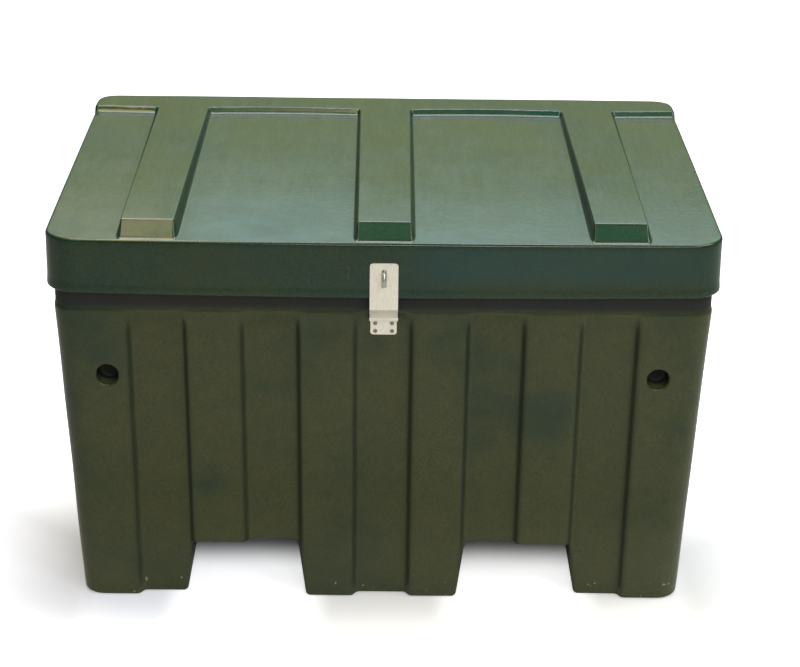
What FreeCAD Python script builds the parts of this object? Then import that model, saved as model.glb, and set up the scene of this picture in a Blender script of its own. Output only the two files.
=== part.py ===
"""Grit salt bin: a moulded tub with fork tunnels, a ribbed lid on two rear hinges, and a front hasp.

Frame: origin on the ground under the middle of the bin, +X to the right, -Y to the front, +Z up, millimetres.
"""
import os
import re

import FreeCAD, Part
import Sketcher
from FreeCAD import Vector

SIZES = {
    # tub: outer form of the moulding
    "tub_width": 1180,            # across the neck
    "tub_depth": 756,             # front to back at the neck
    "foot_width": 1134,           # across the feet at the ground
    "foot_depth": 686,            # front to back at the ground
    "tub_corner_radius": 42,
    "shoulder_height": 602,       # where the sloping walls meet the upright neck
    "neck_height": 43,
    "rim_lean": 12,               # how far the rim stands in from the neck
    "tub_wall": 6,
    # upright corrugations of the four walls
    "panel_pitch": 202.5,
    "recess_width": 100,          # at half the recess's depth
    "recess_depth": 15,
    "recess_drop": 6,             # top of a recess below the shoulder, at half depth
    "flank_angle": 28,            # of a recess's sides, degrees off square
    "corner_panel": 78,           # least width of the plain panel left at a corner
    # fork tunnels
    "tunnel_spacing": 511,        # centre to centre
    "tunnel_width": 226,          # at the ground
    "tunnel_height": 117,
    "tunnel_draft": 14,           # each side leans in by this much at the roof
    "tunnel_roof_radius": 14,
    # blind sockets in the front corner panels
    "socket_spacing": 994,
    "socket_height": 471,
    "socket_radius": 20,
    "socket_depth": 46,
    # lid
    "side_overhang": 10,          # lid beyond the neck at each side
    "end_overhang": 22,           # lid beyond the neck at the front and the back
    "lid_corner_radius": 58,
    "lid_wall": 6,
    "neck_show": 37,              # neck that shows under the lid
    "skirt_height": 99.5,         # at the front
    "skirt_draft": 4,             # inward lean of the skirt over its height
    "panel_rise": 19.5,           # the top panel climbs this much to the back
    "rib_height": 30,             # above the front of the top panel
    "rib_spacing": 415,
    "rib_width": 99,              # on top
    "rib_draft": 5,               # each side of a rib spreads by this much down to its foot
    "rib_setback": 37,            # from the lid's front to the rib's top
    "rib_front_run": 30,          # slope of the rib's end face
    "ridge_width": 60,            # front to back, on top
    "ridge_run": 16,              # slope of the ridge's front face
    "ridge_edge": 6,              # slope of the ridge's back edge
    "groove_height": 12,          # parting groove, above the skirt's lower edge
    "groove_width": 5,
    "groove_depth": 2,
    # rear hinges
    "hinge_width": 84,
    "hinge_plate": 3,
    "hinge_pin_radius": 3,
    "hinge_drop": 8,              # hinge axis below the skirt's lower edge
    "hinge_knuckle": 20,          # length of each outer knuckle
    "tub_leaf_height": 74,
    "lid_leaf_height": 68,
    "lid_leaf_gap": 0.3,          # leaf off the skirt's edge
    "hinge_bolt_pitch": 50,       # across the leaf
    "tub_bolt_first": 42,         # first row, down from the axis
    "lid_bolt_first": 34,         # first row, up from the axis
    "bolt_row_pitch": 20,
    # hinge fasteners
    "bolt_radius": 3,
    "bolt_head_radius": 5.5,
    "bolt_head_height": 3.2,
    "washer_radius": 9,
    "washer_thickness": 1.6,
    "nut_across_flats": 10,
    "nut_height": 6,
    "bolt_spare": 2,              # thread beyond the nut
    # hasp
    "hasp_width": 50,
    "hasp_plate": 2.4,
    "hasp_pin_radius": 2,
    "hasp_drop": 18,              # axis below the tub's shoulder
    "hasp_leaf_width": 47,
    "hasp_leaf_height": 32,
    "hasp_knuckle": 13,
    "hasp_corner_radius": 5.5,
    "crank_start": 3,             # upright part of the flap above its knuckle
    "flap_foot_drop": 22,         # bottom of the flap's flat below the skirt's lower edge
    "flap_rise": 64,              # top of the flap above the skirt's lower edge
    "slot_width": 10,
    "slot_length": 34,
    "slot_lift": 1,               # slot's middle above the staple's middle
    # staple
    "staple_height": 35,          # middle of the loop above the skirt's lower edge
    "staple_wire_radius": 2.5,
    "staple_reach": 12,           # half of the loop's height, between wire centres
    "staple_plate": 2,
    "staple_plate_width": 30,
    "staple_plate_height": 52,
    "staple_screw_pitch": 38,
    "flap_gap": 0.3,              # between the flap and the staple's plate
    # small countersunk screws of the hasp and the staple
    "screw_radius": 2,
    "screw_head_radius": 3.9,
    "screw_head_height": 1.9,
    "screw_spacing": 30,
    "screw_first": 9.5,           # upper row of the leaf, down from the axis
    "screw_row_pitch": 15.5,
    "small_washer_radius": 6,
    "small_washer_thickness": 1,
    "small_nut_across_flats": 7,
    "small_nut_height": 4,
    "small_screw_spare": 1.5,
    # fits
    "pin_clearance": 0.05,        # radial, pin in its knuckles
    "hole_clearance": 0.25,       # radial, bolts in their holes
    "knuckle_gap": 0.4,           # between neighbouring knuckles
    "seat_gap": 0.1,              # metal off the moulding
    "lid_seat_gap": 0.4,          # lid's panel off the tub's rim
    "margin": 20,                 # cutting tools run past the surface by this much
}

doc = FreeCAD.newDocument("grit_bin")
sheet = doc.addObject("Spreadsheet::Sheet", "Sizes")
for row, (alias, value) in enumerate(SIZES.items(), 1):
    sheet.set(f"A{row}", alias)
    sheet.set(f"B{row}", str(value))
    sheet.setAlias(f"B{row}", alias)
doc.recompute()

WORD = re.compile(r"\b(" + "|".join(SIZES) + r")\b")


def bound(words):
    """An expression in the sheet's own words, as another object of the document reads it."""
    return WORD.sub(r"Sizes.\1", str(words))


def value_of(words):
    """The present value of an expression."""
    value = sheet.evalExpression(str(words))
    return float(getattr(value, "Value", value))


def bind(thing, **properties):
    """Tie properties of an object to expressions."""
    for name, words in properties.items():
        thing.setExpression(name, bound(words))


# ---------------------------------------------------------------------------------------------------------
# Places that several pieces share, in words of the sheet

NECK_TOP = "(shoulder_height + neck_height)"
LID_FOOT = "(shoulder_height + neck_show)"
PANEL_FRONT = f"({LID_FOOT} + skirt_height)"
PANEL_BACK = f"({PANEL_FRONT} + panel_rise)"
RIB_TOP = f"({PANEL_FRONT} + rib_height)"
LID_HALF_WIDTH = "(tub_width / 2 + side_overhang)"
LID_HALF_DEPTH = "(tub_depth / 2 + end_overhang)"
PANEL_CLIMB = f"(panel_rise / (2 * {LID_HALF_DEPTH}))"
RIM_TOP = f"({PANEL_FRONT} + (end_overhang + rim_lean) * {PANEL_CLIMB} - lid_wall - lid_seat_gap)"
END_SLOPE = "((tub_depth - foot_depth) / 2 / shoulder_height)"
SIDE_SLOPE = "((tub_width - foot_width) / 2 / shoulder_height)"
SKIRT_SLOPE = "(skirt_draft / skirt_height)"


# ---------------------------------------------------------------------------------------------------------
# Sketches and features

def new_body(name):
    return doc.addObject("PartDesign::Body", name)


def plane_of(body, role):
    return next(item for item in body.Origin.OriginFeatures if item.Role == role)


def place_words(x="0", y="0", z="0", turn="0", about="1; 0; 0"):
    """An expression for a placement, turned about the X axis or another."""
    return (f"create(<<placement>>; create(<<vector>>; {x}; {y}; {z}); "
            f"create(<<rotation>>; create(<<vector>>; {about}); {turn}))")


def new_sketch(body, role, name, lift="0", shift="0", turn="0"):
    """A sketch on an origin plane, lifted along its normal, shifted in it and turned about its own X."""
    sketch = body.newObject("Sketcher::SketchObject", name)
    sketch.AttachmentSupport = [(plane_of(body, role), "")]
    sketch.MapMode = "FlatFace"
    bind(sketch, AttachmentOffset=place_words(y=shift, z=lift, turn=turn))
    return sketch


def polygon(sketch, points):
    """A closed outline whose corners are (across, up) expressions."""
    corners = [Vector(value_of(across), value_of(up), 0) for across, up in points]
    first = sketch.GeometryCount
    count = len(corners)
    for index in range(count):
        sketch.addGeometry(Part.LineSegment(corners[index], corners[(index + 1) % count]), False)
    for index in range(count):
        here, following = first + index, first + (index + 1) % count
        sketch.addConstraint(Sketcher.Constraint("Coincident", here, 2, following, 1))
    for index, (across, up) in enumerate(points):
        for kind, words in (("DistanceX", across), ("DistanceY", up)):
            number = sketch.addConstraint(Sketcher.Constraint(kind, -1, 1, first + index, 1, value_of(words)))
            bind(sketch, **{f"Constraints[{number}]": words})


def circle(sketch, across, up, radius):
    centre = Vector(value_of(across), value_of(up), 0)
    ring = sketch.addGeometry(Part.Circle(centre, Vector(0, 0, 1), value_of(radius)), False)
    for kind, words in (("DistanceX", across), ("DistanceY", up)):
        number = sketch.addConstraint(Sketcher.Constraint(kind, -1, 1, ring, 3, value_of(words)))
        bind(sketch, **{f"Constraints[{number}]": words})
    number = sketch.addConstraint(Sketcher.Constraint("Radius", ring, value_of(radius)))
    bind(sketch, **{f"Constraints[{number}]": radius})


def rounded_rectangle(sketch, half_x, half_y, radius, middle_y="0"):
    """A rectangle with four round corners, centred on the sketch's X and at middle_y."""
    hx, hy, r, my = (value_of(words) for words in (half_x, half_y, radius, middle_y))
    first = sketch.GeometryCount
    turns = ((1, 1), (-1, 1), (-1, -1), (1, -1))
    for index, (sx, sy) in enumerate(turns):
        centre = Vector(sx * (hx - r), my + sy * (hy - r), 0)
        start = FreeCAD.Units.Quantity(f"{90 * index} deg").getValueAs("rad").Value
        arc = Part.ArcOfCircle(Part.Circle(centre, Vector(0, 0, 1), r), start, start + 1.5707963267948966)
        sketch.addGeometry(arc, False)
    for index in range(4):
        leave = sketch.getPoint(first + index, 2)
        arrive = sketch.getPoint(first + (index + 1) % 4, 1)
        sketch.addGeometry(Part.LineSegment(leave, arrive), False)
    for index in range(4):
        arc, side, following = first + index, first + 4 + index, first + (index + 1) % 4
        sketch.addConstraint(Sketcher.Constraint("Tangent", arc, 2, side, 1))
        sketch.addConstraint(Sketcher.Constraint("Tangent", side, 2, following, 1))
    for index, kind in enumerate(("Horizontal", "Vertical", "Horizontal", "Vertical")):
        sketch.addConstraint(Sketcher.Constraint(kind, first + 4 + index))
    for other in (1, 2, 3):
        sketch.addConstraint(Sketcher.Constraint("Equal", first, first + other))
    sizes = (("Radius", (first,), radius),
             ("DistanceX", (-1, 1, first, 1), half_x),
             ("DistanceX", (-1, 1, first + 2, 1), f"-({half_x})"),
             ("DistanceY", (-1, 1, first, 2), f"({middle_y}) + ({half_y})"),
             ("DistanceY", (-1, 1, first + 2, 2), f"({middle_y}) - ({half_y})"))
    for kind, items, words in sizes:
        number = sketch.addConstraint(Sketcher.Constraint(kind, *items, value_of(words)))
        bind(sketch, **{f"Constraints[{number}]": words})


def pad(body, name, sketch, length, both_ways=True):
    feature = body.newObject("PartDesign::Pad", name)
    feature.Profile = sketch
    feature.Midplane = both_ways
    bind(feature, Length=length)
    return feature


def pocket(body, name, sketch, length, both_ways=True):
    """A cut from a sketch, both ways from it or against its normal."""
    feature = body.newObject("PartDesign::Pocket", name)
    feature.Profile = sketch
    feature.Midplane = both_ways
    bind(feature, Length=length)
    return feature


# ---------------------------------------------------------------------------------------------------------
# Solids and booleans

def block(name, levels, radius):
    """A solid through rounded rectangles at rising levels, given as (height, half_x, half_y) expressions.

    Its flat sides are planes and each corner is an arc carried straight from one level to the next,
    which neither a loft nor a draft gives, so the faces are set one by one.
    """
    r = value_of(radius)
    outlines = []
    for height, half_x, half_y in levels:
        z, hx, hy = value_of(height), value_of(half_x), value_of(half_y)
        corners = []
        for sx, sy in ((1, 1), (-1, 1), (-1, -1), (1, -1)):
            centre = Vector(sx * (hx - r), sy * (hy - r), z)
            along_x, along_y = Vector(sx * r, 0, 0), Vector(0, sy * r, 0)
            start, end = (along_x, along_y) if sx * sy > 0 else (along_y, along_x)
            middle = (along_x + along_y) * 0.7071067811865476
            corners.append((centre + start, centre + middle, centre + end))
        outlines.append(corners)

    def cap(corners):
        edges = []
        for index, (start, middle, end) in enumerate(corners):
            edges.append(Part.Arc(start, middle, end).toShape())
            edges.append(Part.makeLine(end, corners[(index + 1) % 4][0]))
        return Part.Face(Part.Wire(edges))

    faces = [cap(outlines[0]), cap(outlines[-1])]
    for low, high in zip(outlines, outlines[1:]):
        for index in range(4):
            start, middle, end = low[index]
            following = (index + 1) % 4
            faces.append(Part.Arc(start, middle, end).toShape().extrude(high[index][0] - start))
            side = [end, low[following][0], high[following][0], high[index][2], end]
            faces.append(Part.Face(Part.makePolygon(side)))
    skin = Part.makeCompound(faces)
    skin.sewShape()
    solid = Part.makeSolid(skin.Shells[0] if skin.Shells else Part.Shell(skin.Faces))
    if solid.Volume < 0:
        solid.reverse()
    feature = doc.addObject("Part::Feature", name)
    feature.Shape = solid
    return feature


def group(name, items, place=None):
    """Several solids as one object."""
    bundle = doc.addObject("Part::Compound", name)
    bundle.Links = items
    if place:
        bind(bundle, Placement=place)
    return bundle


def cut_from(name, base, tools):
    """The base with the tools' solids taken out."""
    result = doc.addObject("Part::Cut", name)
    result.Base = base
    result.Tool = tools
    return result


def joined(name, items):
    """Several solids made one."""
    result = doc.addObject("Part::MultiFuse", name)
    result.Shapes = items
    result.Refine = True
    return result


def wedge(name, low_x, low_z, high_x, high_z, length, place):
    """A block from Y 0 to length, with a rectangle of X and Z limits at each end."""
    solid = doc.addObject("Part::Wedge", name)
    bind(solid, Xmin=low_x[0], Xmax=low_x[1], Zmin=low_z[0], Zmax=low_z[1], X2min=high_x[0], X2max=high_x[1],
         Z2min=high_z[0], Z2max=high_z[1], Ymin="0", Ymax=length, Placement=place)
    return solid


def prism(name, role, points, length):
    """A polygon in an origin plane, extruded both ways from it by half of the length."""
    outline = doc.addObject("Sketcher::SketchObject", f"{name}_outline")
    polygon(outline, points)
    turns = {"XZ": (("1; 0; 0", "90"), Vector(0, 1, 0)), "YZ": (("1; 1; 1", "120"), Vector(1, 0, 0))}
    (about, turn), direction = turns[role]
    bind(outline, Placement=place_words(turn=turn, about=about))
    solid = doc.addObject("Part::Extrusion", name)
    solid.Base = outline
    solid.DirMode = "Custom"
    solid.Dir = direction
    solid.Solid = True
    solid.Symmetric = True
    bind(solid, LengthFwd=length)
    return solid


# ---------------------------------------------------------------------------------------------------------
# Tub: the outer form less the same form set in by the wall

def recess_row(name, half_foot, half_span, slope, inset, quarter_turns):
    """One wall's row of upright recesses, open at the ground and square to the sloping wall.

    half_foot is the wall's distance from the middle at the ground, half_span half of its own width there.
    The row is made on the front wall and turned about Z.
    """
    mouth = f"((margin - {inset}) * tan(flank_angle) + {inset} / cos(flank_angle))"
    wide = f"(recess_width / 2 + recess_depth / 2 * tan(flank_angle) + {mouth})"
    depth = f"(margin + {inset} + recess_depth)"
    narrow = f"({wide} - {depth} * tan(flank_angle))"
    top = f"((shoulder_height - recess_drop) / cos(atan({slope})) + {wide} - recess_width / 2)"
    low_top = f"({top} - {depth} * tan(flank_angle))"
    steps = int(value_of(f"floor(({half_span} - corner_panel - recess_width / 2) / panel_pitch)"))
    cutters = []
    for step in range(-steps, steps + 1):
        place = place_words(f"{step} * panel_pitch", f"-({half_foot}) - margin * cos(atan({slope}))",
                            f"-margin * sin(atan({slope}))", f"atan({slope})")
        cutters.append(wedge(f"{name}_{step + steps}", (f"-{wide}", wide), ("-2 * margin", top),
                             (f"-{narrow}", narrow), ("-2 * margin", low_top), depth, place))
    return group(name, cutters, place_words(turn=str(90 * quarter_turns), about="0; 0; 1"))


def tub_form(name, inset):
    """The tub's solid form, set in by the inset: walls, neck, rim, recesses, tunnels and sockets."""
    outside = inset == "0"
    foot = inset
    rim = RIM_TOP if outside else f"({RIM_TOP} + margin)"
    lean = "rim_lean" if outside else f"(rim_lean * (1 + margin / ({RIM_TOP} - {NECK_TOP})))"
    half_width, half_depth = f"tub_width / 2 - {inset}", f"tub_depth / 2 - {inset}"
    levels = [(foot, f"foot_width / 2 + {foot} * {SIDE_SLOPE} - {inset}",
               f"foot_depth / 2 + {foot} * {END_SLOPE} - {inset}"),
              ("shoulder_height", half_width, half_depth),
              (NECK_TOP, half_width, half_depth),
              (rim, f"{half_width} - {lean}", f"{half_depth} - {lean}")]
    body = block(f"{name}_block", levels, f"tub_corner_radius - {inset}")
    end = "foot_depth / 2", "foot_width / 2", END_SLOPE
    side = "foot_width / 2", "foot_depth / 2", SIDE_SLOPE
    tools = []
    for turns, (wall, (half_foot, half_span, slope)) in enumerate((
            ("front", end), ("right", side), ("back", end), ("left", side))):
        row = f"{name}_{wall}_recesses"
        tools.append(recess_row(row, half_foot, half_span, slope, inset, turns))
    lean_of_side = "(tunnel_draft / tunnel_height)"
    low = f"(tunnel_width / 2 + {inset} + margin * {lean_of_side})"
    bevel = "(tunnel_roof_radius * 0.6)"
    roof = f"(tunnel_height + {inset})"
    spring = f"({roof} - {bevel})"
    high = f"(tunnel_width / 2 + {inset} - {spring} * {lean_of_side})"
    for word, side in (("left", -1), ("right", 1)):
        middle = f"{side} * tunnel_spacing / 2"
        points = [(f"{middle} - {low}", "-margin"), (f"{middle} + {low}", "-margin"),
                  (f"{middle} + {high}", spring), (f"{middle} + {high} - {bevel}", roof),
                  (f"{middle} - {high} + {bevel}", roof), (f"{middle} - {high}", spring)]
        tools.append(prism(f"{name}_{word}_tunnel", "XZ", points, "tub_depth + 2 * margin"))
        socket = doc.addObject("Part::Cylinder", f"{name}_{word}_socket")
        bottom = f"-tub_depth / 2 + socket_depth + {inset}"
        bind(socket, Radius=f"socket_radius + {inset}", Height=f"margin + socket_depth + {inset}",
             Placement=place_words(f"{side} * socket_spacing / 2", bottom, "socket_height", "90"))
        tools.append(socket)
    return cut_from(name, body, group(f"{name}_hollows", tools))


# ---------------------------------------------------------------------------------------------------------
# Lid: the outer form less the same form set in by the wall

def lid_form(name, inset):
    """The lid's solid form, set in by the inset: skirt, sloping panel, ribs and rear ridge."""
    outside = inset == "0"

    def level(height, extra="0"):
        lean = f"(({height} - {LID_FOOT}) * {SKIRT_SLOPE} + {inset} + {extra})"
        return (height, f"{LID_HALF_WIDTH} - {lean}", f"{LID_HALF_DEPTH} - {lean}")

    groove = f"({LID_FOOT} + groove_height)"
    levels = [level(LID_FOOT if outside else f"({LID_FOOT} - margin)")]
    if outside:
        levels += [level(groove), level(f"({groove} + groove_depth / 2)", "groove_depth"),
                   level(f"({groove} + groove_width - groove_depth / 2)", "groove_depth"),
                   level(f"({groove} + groove_width)")]
    levels.append(level(f"({RIB_TOP} - {inset})"))
    body = block(f"{name}_block", levels, f"lid_corner_radius - {inset}")

    back = f"({LID_HALF_DEPTH} - {SKIRT_SLOPE} * (skirt_height + rib_height))"
    ridge = f"({back} - ridge_edge - ridge_width + {inset})"
    ridge_foot = f"({ridge} - ridge_run)"
    over = f"({RIB_TOP} + margin)"
    front = f"(-{LID_HALF_DEPTH} - margin)"
    above = prism(f"{name}_above_panel", "YZ", [
        (front, f"{PANEL_FRONT} - margin * {PANEL_CLIMB} - {inset}"),
        (ridge_foot, f"{PANEL_FRONT} + ({ridge_foot} + {LID_HALF_DEPTH}) * {PANEL_CLIMB} - {inset}"),
        (ridge, f"{RIB_TOP} - {inset}"), (ridge, over), (front, over)], f"2 * {LID_HALF_WIDTH} + 2 * margin")
    base = cut_from(f"{name}_panel", body, above)

    sunk = f"(1 + {inset})"
    rise = f"(rib_height - {inset} + {sunk})"
    spread = f"(rib_draft * {rise} / rib_height)"
    reach = f"(rib_front_run * {rise} / rib_height)"
    half = f"(rib_width / 2 - {inset})"
    nose = f"(-{LID_HALF_DEPTH} + rib_setback + {inset})"
    tail = f"({ridge} + ridge_width / 4)"
    ribs = []
    foot_x, foot_z = (f"-{half} - {spread}", f"{half} + {spread}"), (f"-({tail})", f"-({nose}) + {reach}")
    for index, place in enumerate(("-rib_spacing", "0", "rib_spacing")):
        ribs.append(wedge(f"{name}_rib_{index}", foot_x, foot_z, (f"-{half}", half),
                          (f"-({tail})", f"-({nose})"), rise,
                          place_words(place, "0", f"({PANEL_FRONT} - {sunk})", "90")))
    return joined(name, [base] + ribs)


# ---------------------------------------------------------------------------------------------------------
# Where the metal sits. Each frame's +Y points out of the moulding; its Z runs along the surface.

HINGE_KNUCKLE = "(hinge_pin_radius + hinge_plate)"
HINGE_X = "(1.5 * panel_pitch)"
HINGE_Z = f"({LID_FOOT} - hinge_drop)"
HINGE_Y = (f"(tub_depth / 2 + ({HINGE_KNUCKLE} + seat_gap) / cos(atan({END_SLOPE}))"
           f" + ({HINGE_Z} - shoulder_height) * {END_SLOPE})")
HASP_KNUCKLE = "(hasp_pin_radius + hasp_plate)"
HASP_Z = "(shoulder_height - hasp_drop)"
FLAP_FOOT = f"({LID_FOOT} - flap_foot_drop - {HASP_Z})"      # above the axis
FLAP_TOP = f"({LID_FOOT} + flap_rise - {HASP_Z})"
HASP_Y = (f"(-tub_depth / 2 + hasp_drop * {END_SLOPE}"
          f" + (recess_depth - {HASP_KNUCKLE} - seat_gap) / cos(atan({END_SLOPE})))")
STAPLE_Z = f"({LID_FOOT} + staple_height)"
STAPLE_Y = f"(-{LID_HALF_DEPTH} + staple_height * {SKIRT_SLOPE})"
FLAP_OFF = "(seat_gap + staple_plate + flap_gap)"


def tub_hinge_frame(side):
    """On the back wall at a hinge's axis, Z up the wall."""
    return place_words(f"{side} * {HINGE_X}", HINGE_Y, HINGE_Z, f"-atan({END_SLOPE})")


def lid_hinge_frame(side):
    """On the back skirt's lower edge above a hinge, Z up the skirt."""
    return place_words(f"{side} * {HINGE_X}", LID_HALF_DEPTH, LID_FOOT, f"atan({SKIRT_SLOPE})")


def hinge_axis_frame(side):
    """At a hinge's axis, square to the ground."""
    return place_words(f"{side} * {HINGE_X}", HINGE_Y, HINGE_Z)


HASP_LEAF_FRAME = place_words("0", HASP_Y, HASP_Z, f"180 deg + atan({END_SLOPE})")      # Z down the recess
HASP_AXIS_FRAME = place_words("0", HASP_Y, HASP_Z)
STAPLE_FRAME = place_words("0", STAPLE_Y, STAPLE_Z, f"180 deg - atan({SKIRT_SLOPE})")   # Z down the skirt


# ---------------------------------------------------------------------------------------------------------
# Fasteners, made along +Y from outlines of (radius, height)

def outline_of(name, points):
    outline = doc.addObject("Sketcher::SketchObject", f"{name}_outline")
    polygon(outline, points)
    return outline


def turned(name, outline, place):
    """A solid of revolution about Y."""
    solid = doc.addObject("Part::Revolution", name)
    solid.Source = outline
    solid.Axis = Vector(0, 1, 0)
    solid.Angle = 360
    solid.Solid = True
    bind(solid, Placement=place)
    return solid


def grid(columns, rows):
    """Places of a bolt pattern: every column with every row."""
    return [(column, row) for row in rows for column in columns]


def turned_grid(name, outline, places, frame):
    """One turned solid at each place of a pattern, in a frame."""
    items = [turned(f"{name}_{index}", outline, place_words(x=across, z=along))
             for index, (across, along) in enumerate(places)]
    return group(name, items, frame)


def nut_outline(name, across_flats, bore):
    """A hexagon with a round hole."""
    outline = doc.addObject("Sketcher::SketchObject", f"{name}_outline")
    corner = f"({across_flats} / 2 / cos(30))"
    corners = [(f"{corner} * cos({turn})", f"{corner} * sin({turn})") for turn in range(0, 360, 60)]
    polygon(outline, corners)
    circle(outline, "0", "0", bore)
    return outline


def nut_grid(name, outline, height, seat, places, frame):
    """Nuts whose outer face is at the seat, and which stand inwards from it."""
    items = []
    for index, (across, along) in enumerate(places):
        nut = doc.addObject("Part::Extrusion", f"{name}_{index}")
        nut.Base = outline
        nut.DirMode = "Custom"
        nut.Dir = Vector(0, 0, 1)
        nut.Solid = True
        bind(nut, LengthFwd=height, Placement=place_words(across, f"-({seat})", along, "90"))
        items.append(nut)
    return group(name, items, frame)


def bolt_set(name, places, frames, top, wall, small=False):
    """The bolts, washers, nuts and drilled holes of one joint.

    top is the height of the plate's outer face above the frame's origin, wall the depth of the moulding's
    inner face below it.
    """
    if small:
        radius, washer_out, washer_high = "screw_radius", "small_washer_radius", "small_washer_thickness"
        flats, nut_high, spare = "small_nut_across_flats", "small_nut_height", "small_screw_spare"
        head = [("screw_head_radius", top), ("screw_radius", f"{top} - screw_head_height")]
        hole = [(f"screw_head_radius + hole_clearance", f"{top} + hole_clearance / 2"),
                (f"screw_radius + hole_clearance", f"{top} - screw_head_height")]
        crown, mouth = top, f"{top} + hole_clearance / 2"
    else:
        radius, washer_out, washer_high = "bolt_radius", "washer_radius", "washer_thickness"
        flats, nut_high, spare = "nut_across_flats", "nut_height", "bolt_spare"
        rise = f"{top} + bolt_head_height"
        head = [("bolt_head_radius * 0.55", rise),
                ("bolt_head_radius * 0.9", f"{top} + bolt_head_height * 0.6"),
                ("bolt_head_radius", f"{top} + bolt_head_height * 0.2"),
                ("bolt_head_radius", top),
                ("bolt_radius", top)]
        hole = [("bolt_radius + hole_clearance", rise)]
        crown, mouth = rise, rise
    inner = f"({wall} + seat_gap)"
    tip = f"-({inner} + {washer_high} + {nut_high} + {spare})"
    bolt = outline_of(f"{name}_bolt", [("0", crown)] + head + [(radius, tip), ("0", tip)])
    bore, beyond = f"{radius} + hole_clearance", f"-{wall} - margin"
    drill = outline_of(f"{name}_drill", [("0", mouth)] + hole + [(bore, beyond), ("0", beyond)])
    near, far = f"-{inner}", f"-{inner} - {washer_high}"
    washer = outline_of(f"{name}_washer", [(bore, near), (washer_out, near), (washer_out, far), (bore, far)])
    nut = nut_outline(f"{name}_nut", flats, radius)
    made = {"bolts": [], "drills": [], "washers": [], "nuts": []}
    for index, frame in enumerate(frames):
        made["bolts"].append(turned_grid(f"{name}_bolts_{index}", bolt, places, frame))
        made["drills"].append(turned_grid(f"{name}_drills_{index}", drill, places, frame))
        made["washers"].append(turned_grid(f"{name}_washers_{index}", washer, places, frame))
        made["nuts"].append(nut_grid(f"{name}_nuts_{index}", nut, nut_high, f"{inner} + {washer_high}",
                                     places, frame))
    return made


# ---------------------------------------------------------------------------------------------------------
# Hinge leaves, in a frame whose origin is on the hinge's axis

def leaf(name, profile, width, knuckle, pin, knuckle_half, outer_knuckles, whole_half, frame):
    """A plate with rolled knuckles: two outer ones, or one in the middle.

    profile is the plate's outline in the YZ plane; knuckle_half is half the length of the middle knuckle's
    space.
    """
    body = new_body(name)
    plate = new_sketch(body, "YZ_Plane", f"{name}_profile")
    polygon(plate, profile)
    pad(body, f"{name}_plate", plate, width)
    room = f"({knuckle} + knuckle_gap)"
    if outer_knuckles:
        clear = new_sketch(body, "YZ_Plane", f"{name}_room")
        circle(clear, "0", "0", room)
        pocket(body, f"{name}_room_cut", clear, f"2 * {knuckle_half}")
        outer = f"{whole_half} - {knuckle_half}"
        spans = [(knuckle_half, outer), (f"-{whole_half}", outer)]
    else:
        inner_half = f"({knuckle_half} - knuckle_gap)"
        for index, start in enumerate((f"{whole_half} + 1", f"-{inner_half}")):
            clear = new_sketch(body, "YZ_Plane", f"{name}_room_{index}", lift=start)
            circle(clear, "0", "0", room)
            pocket(body, f"{name}_room_cut_{index}", clear, f"{whole_half} + 1 - {inner_half}",
                   both_ways=False)
        spans = [(f"-{inner_half}", f"2 * {inner_half}")]
    for index, (start, length) in enumerate(spans):
        ring = new_sketch(body, "YZ_Plane", f"{name}_knuckle_outline_{index}", lift=start)
        circle(ring, "0", "0", knuckle)
        pad(body, f"{name}_knuckle_{index}", ring, length, both_ways=False)
    bore = new_sketch(body, "YZ_Plane", f"{name}_bore_outline")
    circle(bore, "0", "0", f"{pin} + pin_clearance")
    pocket(body, f"{name}_bore", bore, f"2 * {whole_half} + 4")
    bind(body, Placement=frame)
    return body


def round_corners(body, name, radius, along):
    """Round the free end's two corners: the edges through the plate at the greatest or least Z."""
    doc.recompute()
    plate = body.Tip
    shape = plate.Shape
    ends = [vertex.Z for vertex in shape.Vertexes]
    far = max(ends) if along > 0 else min(ends)
    names = []
    for index, edge in enumerate(shape.Edges, 1):
        points = [vertex.Point for vertex in edge.Vertexes]
        through = len(points) == 2 and abs(points[0].x - points[1].x) < 1e-6 and edge.Length > 1
        if through and all(abs(point.z - far) < 0.5 for point in points):
            names.append(f"Edge{index}")
    fillet = body.newObject("PartDesign::Fillet", name)
    fillet.Base = (plate, names)
    bind(fillet, Radius=radius)
    body.Tip = fillet


def pin(name, radius, length, head, frame_y, frame_z, x="0"):
    """A plain pin along X with a low head at each end."""
    end, tip, rim = f"({length} / 2)", f"({length} / 2 + {head})", f"{radius} * 1.5"
    outline = outline_of(name, [("0", f"-{tip}"), (rim, f"-{tip}"), (rim, f"-{end}"), (radius, f"-{end}"),
                                (radius, end), (rim, end), (rim, tip), ("0", tip)])
    return turned(name, outline, place_words(x, frame_y, frame_z, "-90", "0; 0; 1"))


# ---------------------------------------------------------------------------------------------------------
# Rear hinges

SIDES = (("left", -1), ("right", 1))
hinge_columns = ("-hinge_bolt_pitch / 2", "hinge_bolt_pitch / 2")
TUB_LEAF_OUT = f"(-{HINGE_KNUCKLE} + hinge_plate)"
tub_leaf_profile = [(f"-{HINGE_KNUCKLE}", "0"), (f"-{HINGE_KNUCKLE}", "-tub_leaf_height"),
                    (TUB_LEAF_OUT, "-tub_leaf_height"), (TUB_LEAF_OUT, "0")]


def skirt_gap_at(height):
    """From the hinge axis to the lid leaf's inner face, at a height above the axis."""
    return (f"({LID_HALF_DEPTH} + lid_leaf_gap - {HINGE_Y} - ({height} - hinge_drop) * {SKIRT_SLOPE})")


low_face, high_face = skirt_gap_at(HINGE_KNUCKLE), skirt_gap_at("lid_leaf_height")
lid_leaf_profile = [("0", "hinge_pin_radius"), (f"{low_face} + hinge_plate", "hinge_pin_radius"),
                    (f"{high_face} + hinge_plate", "lid_leaf_height"), (high_face, "lid_leaf_height"),
                    (low_face, HINGE_KNUCKLE), ("0", HINGE_KNUCKLE)]

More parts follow.
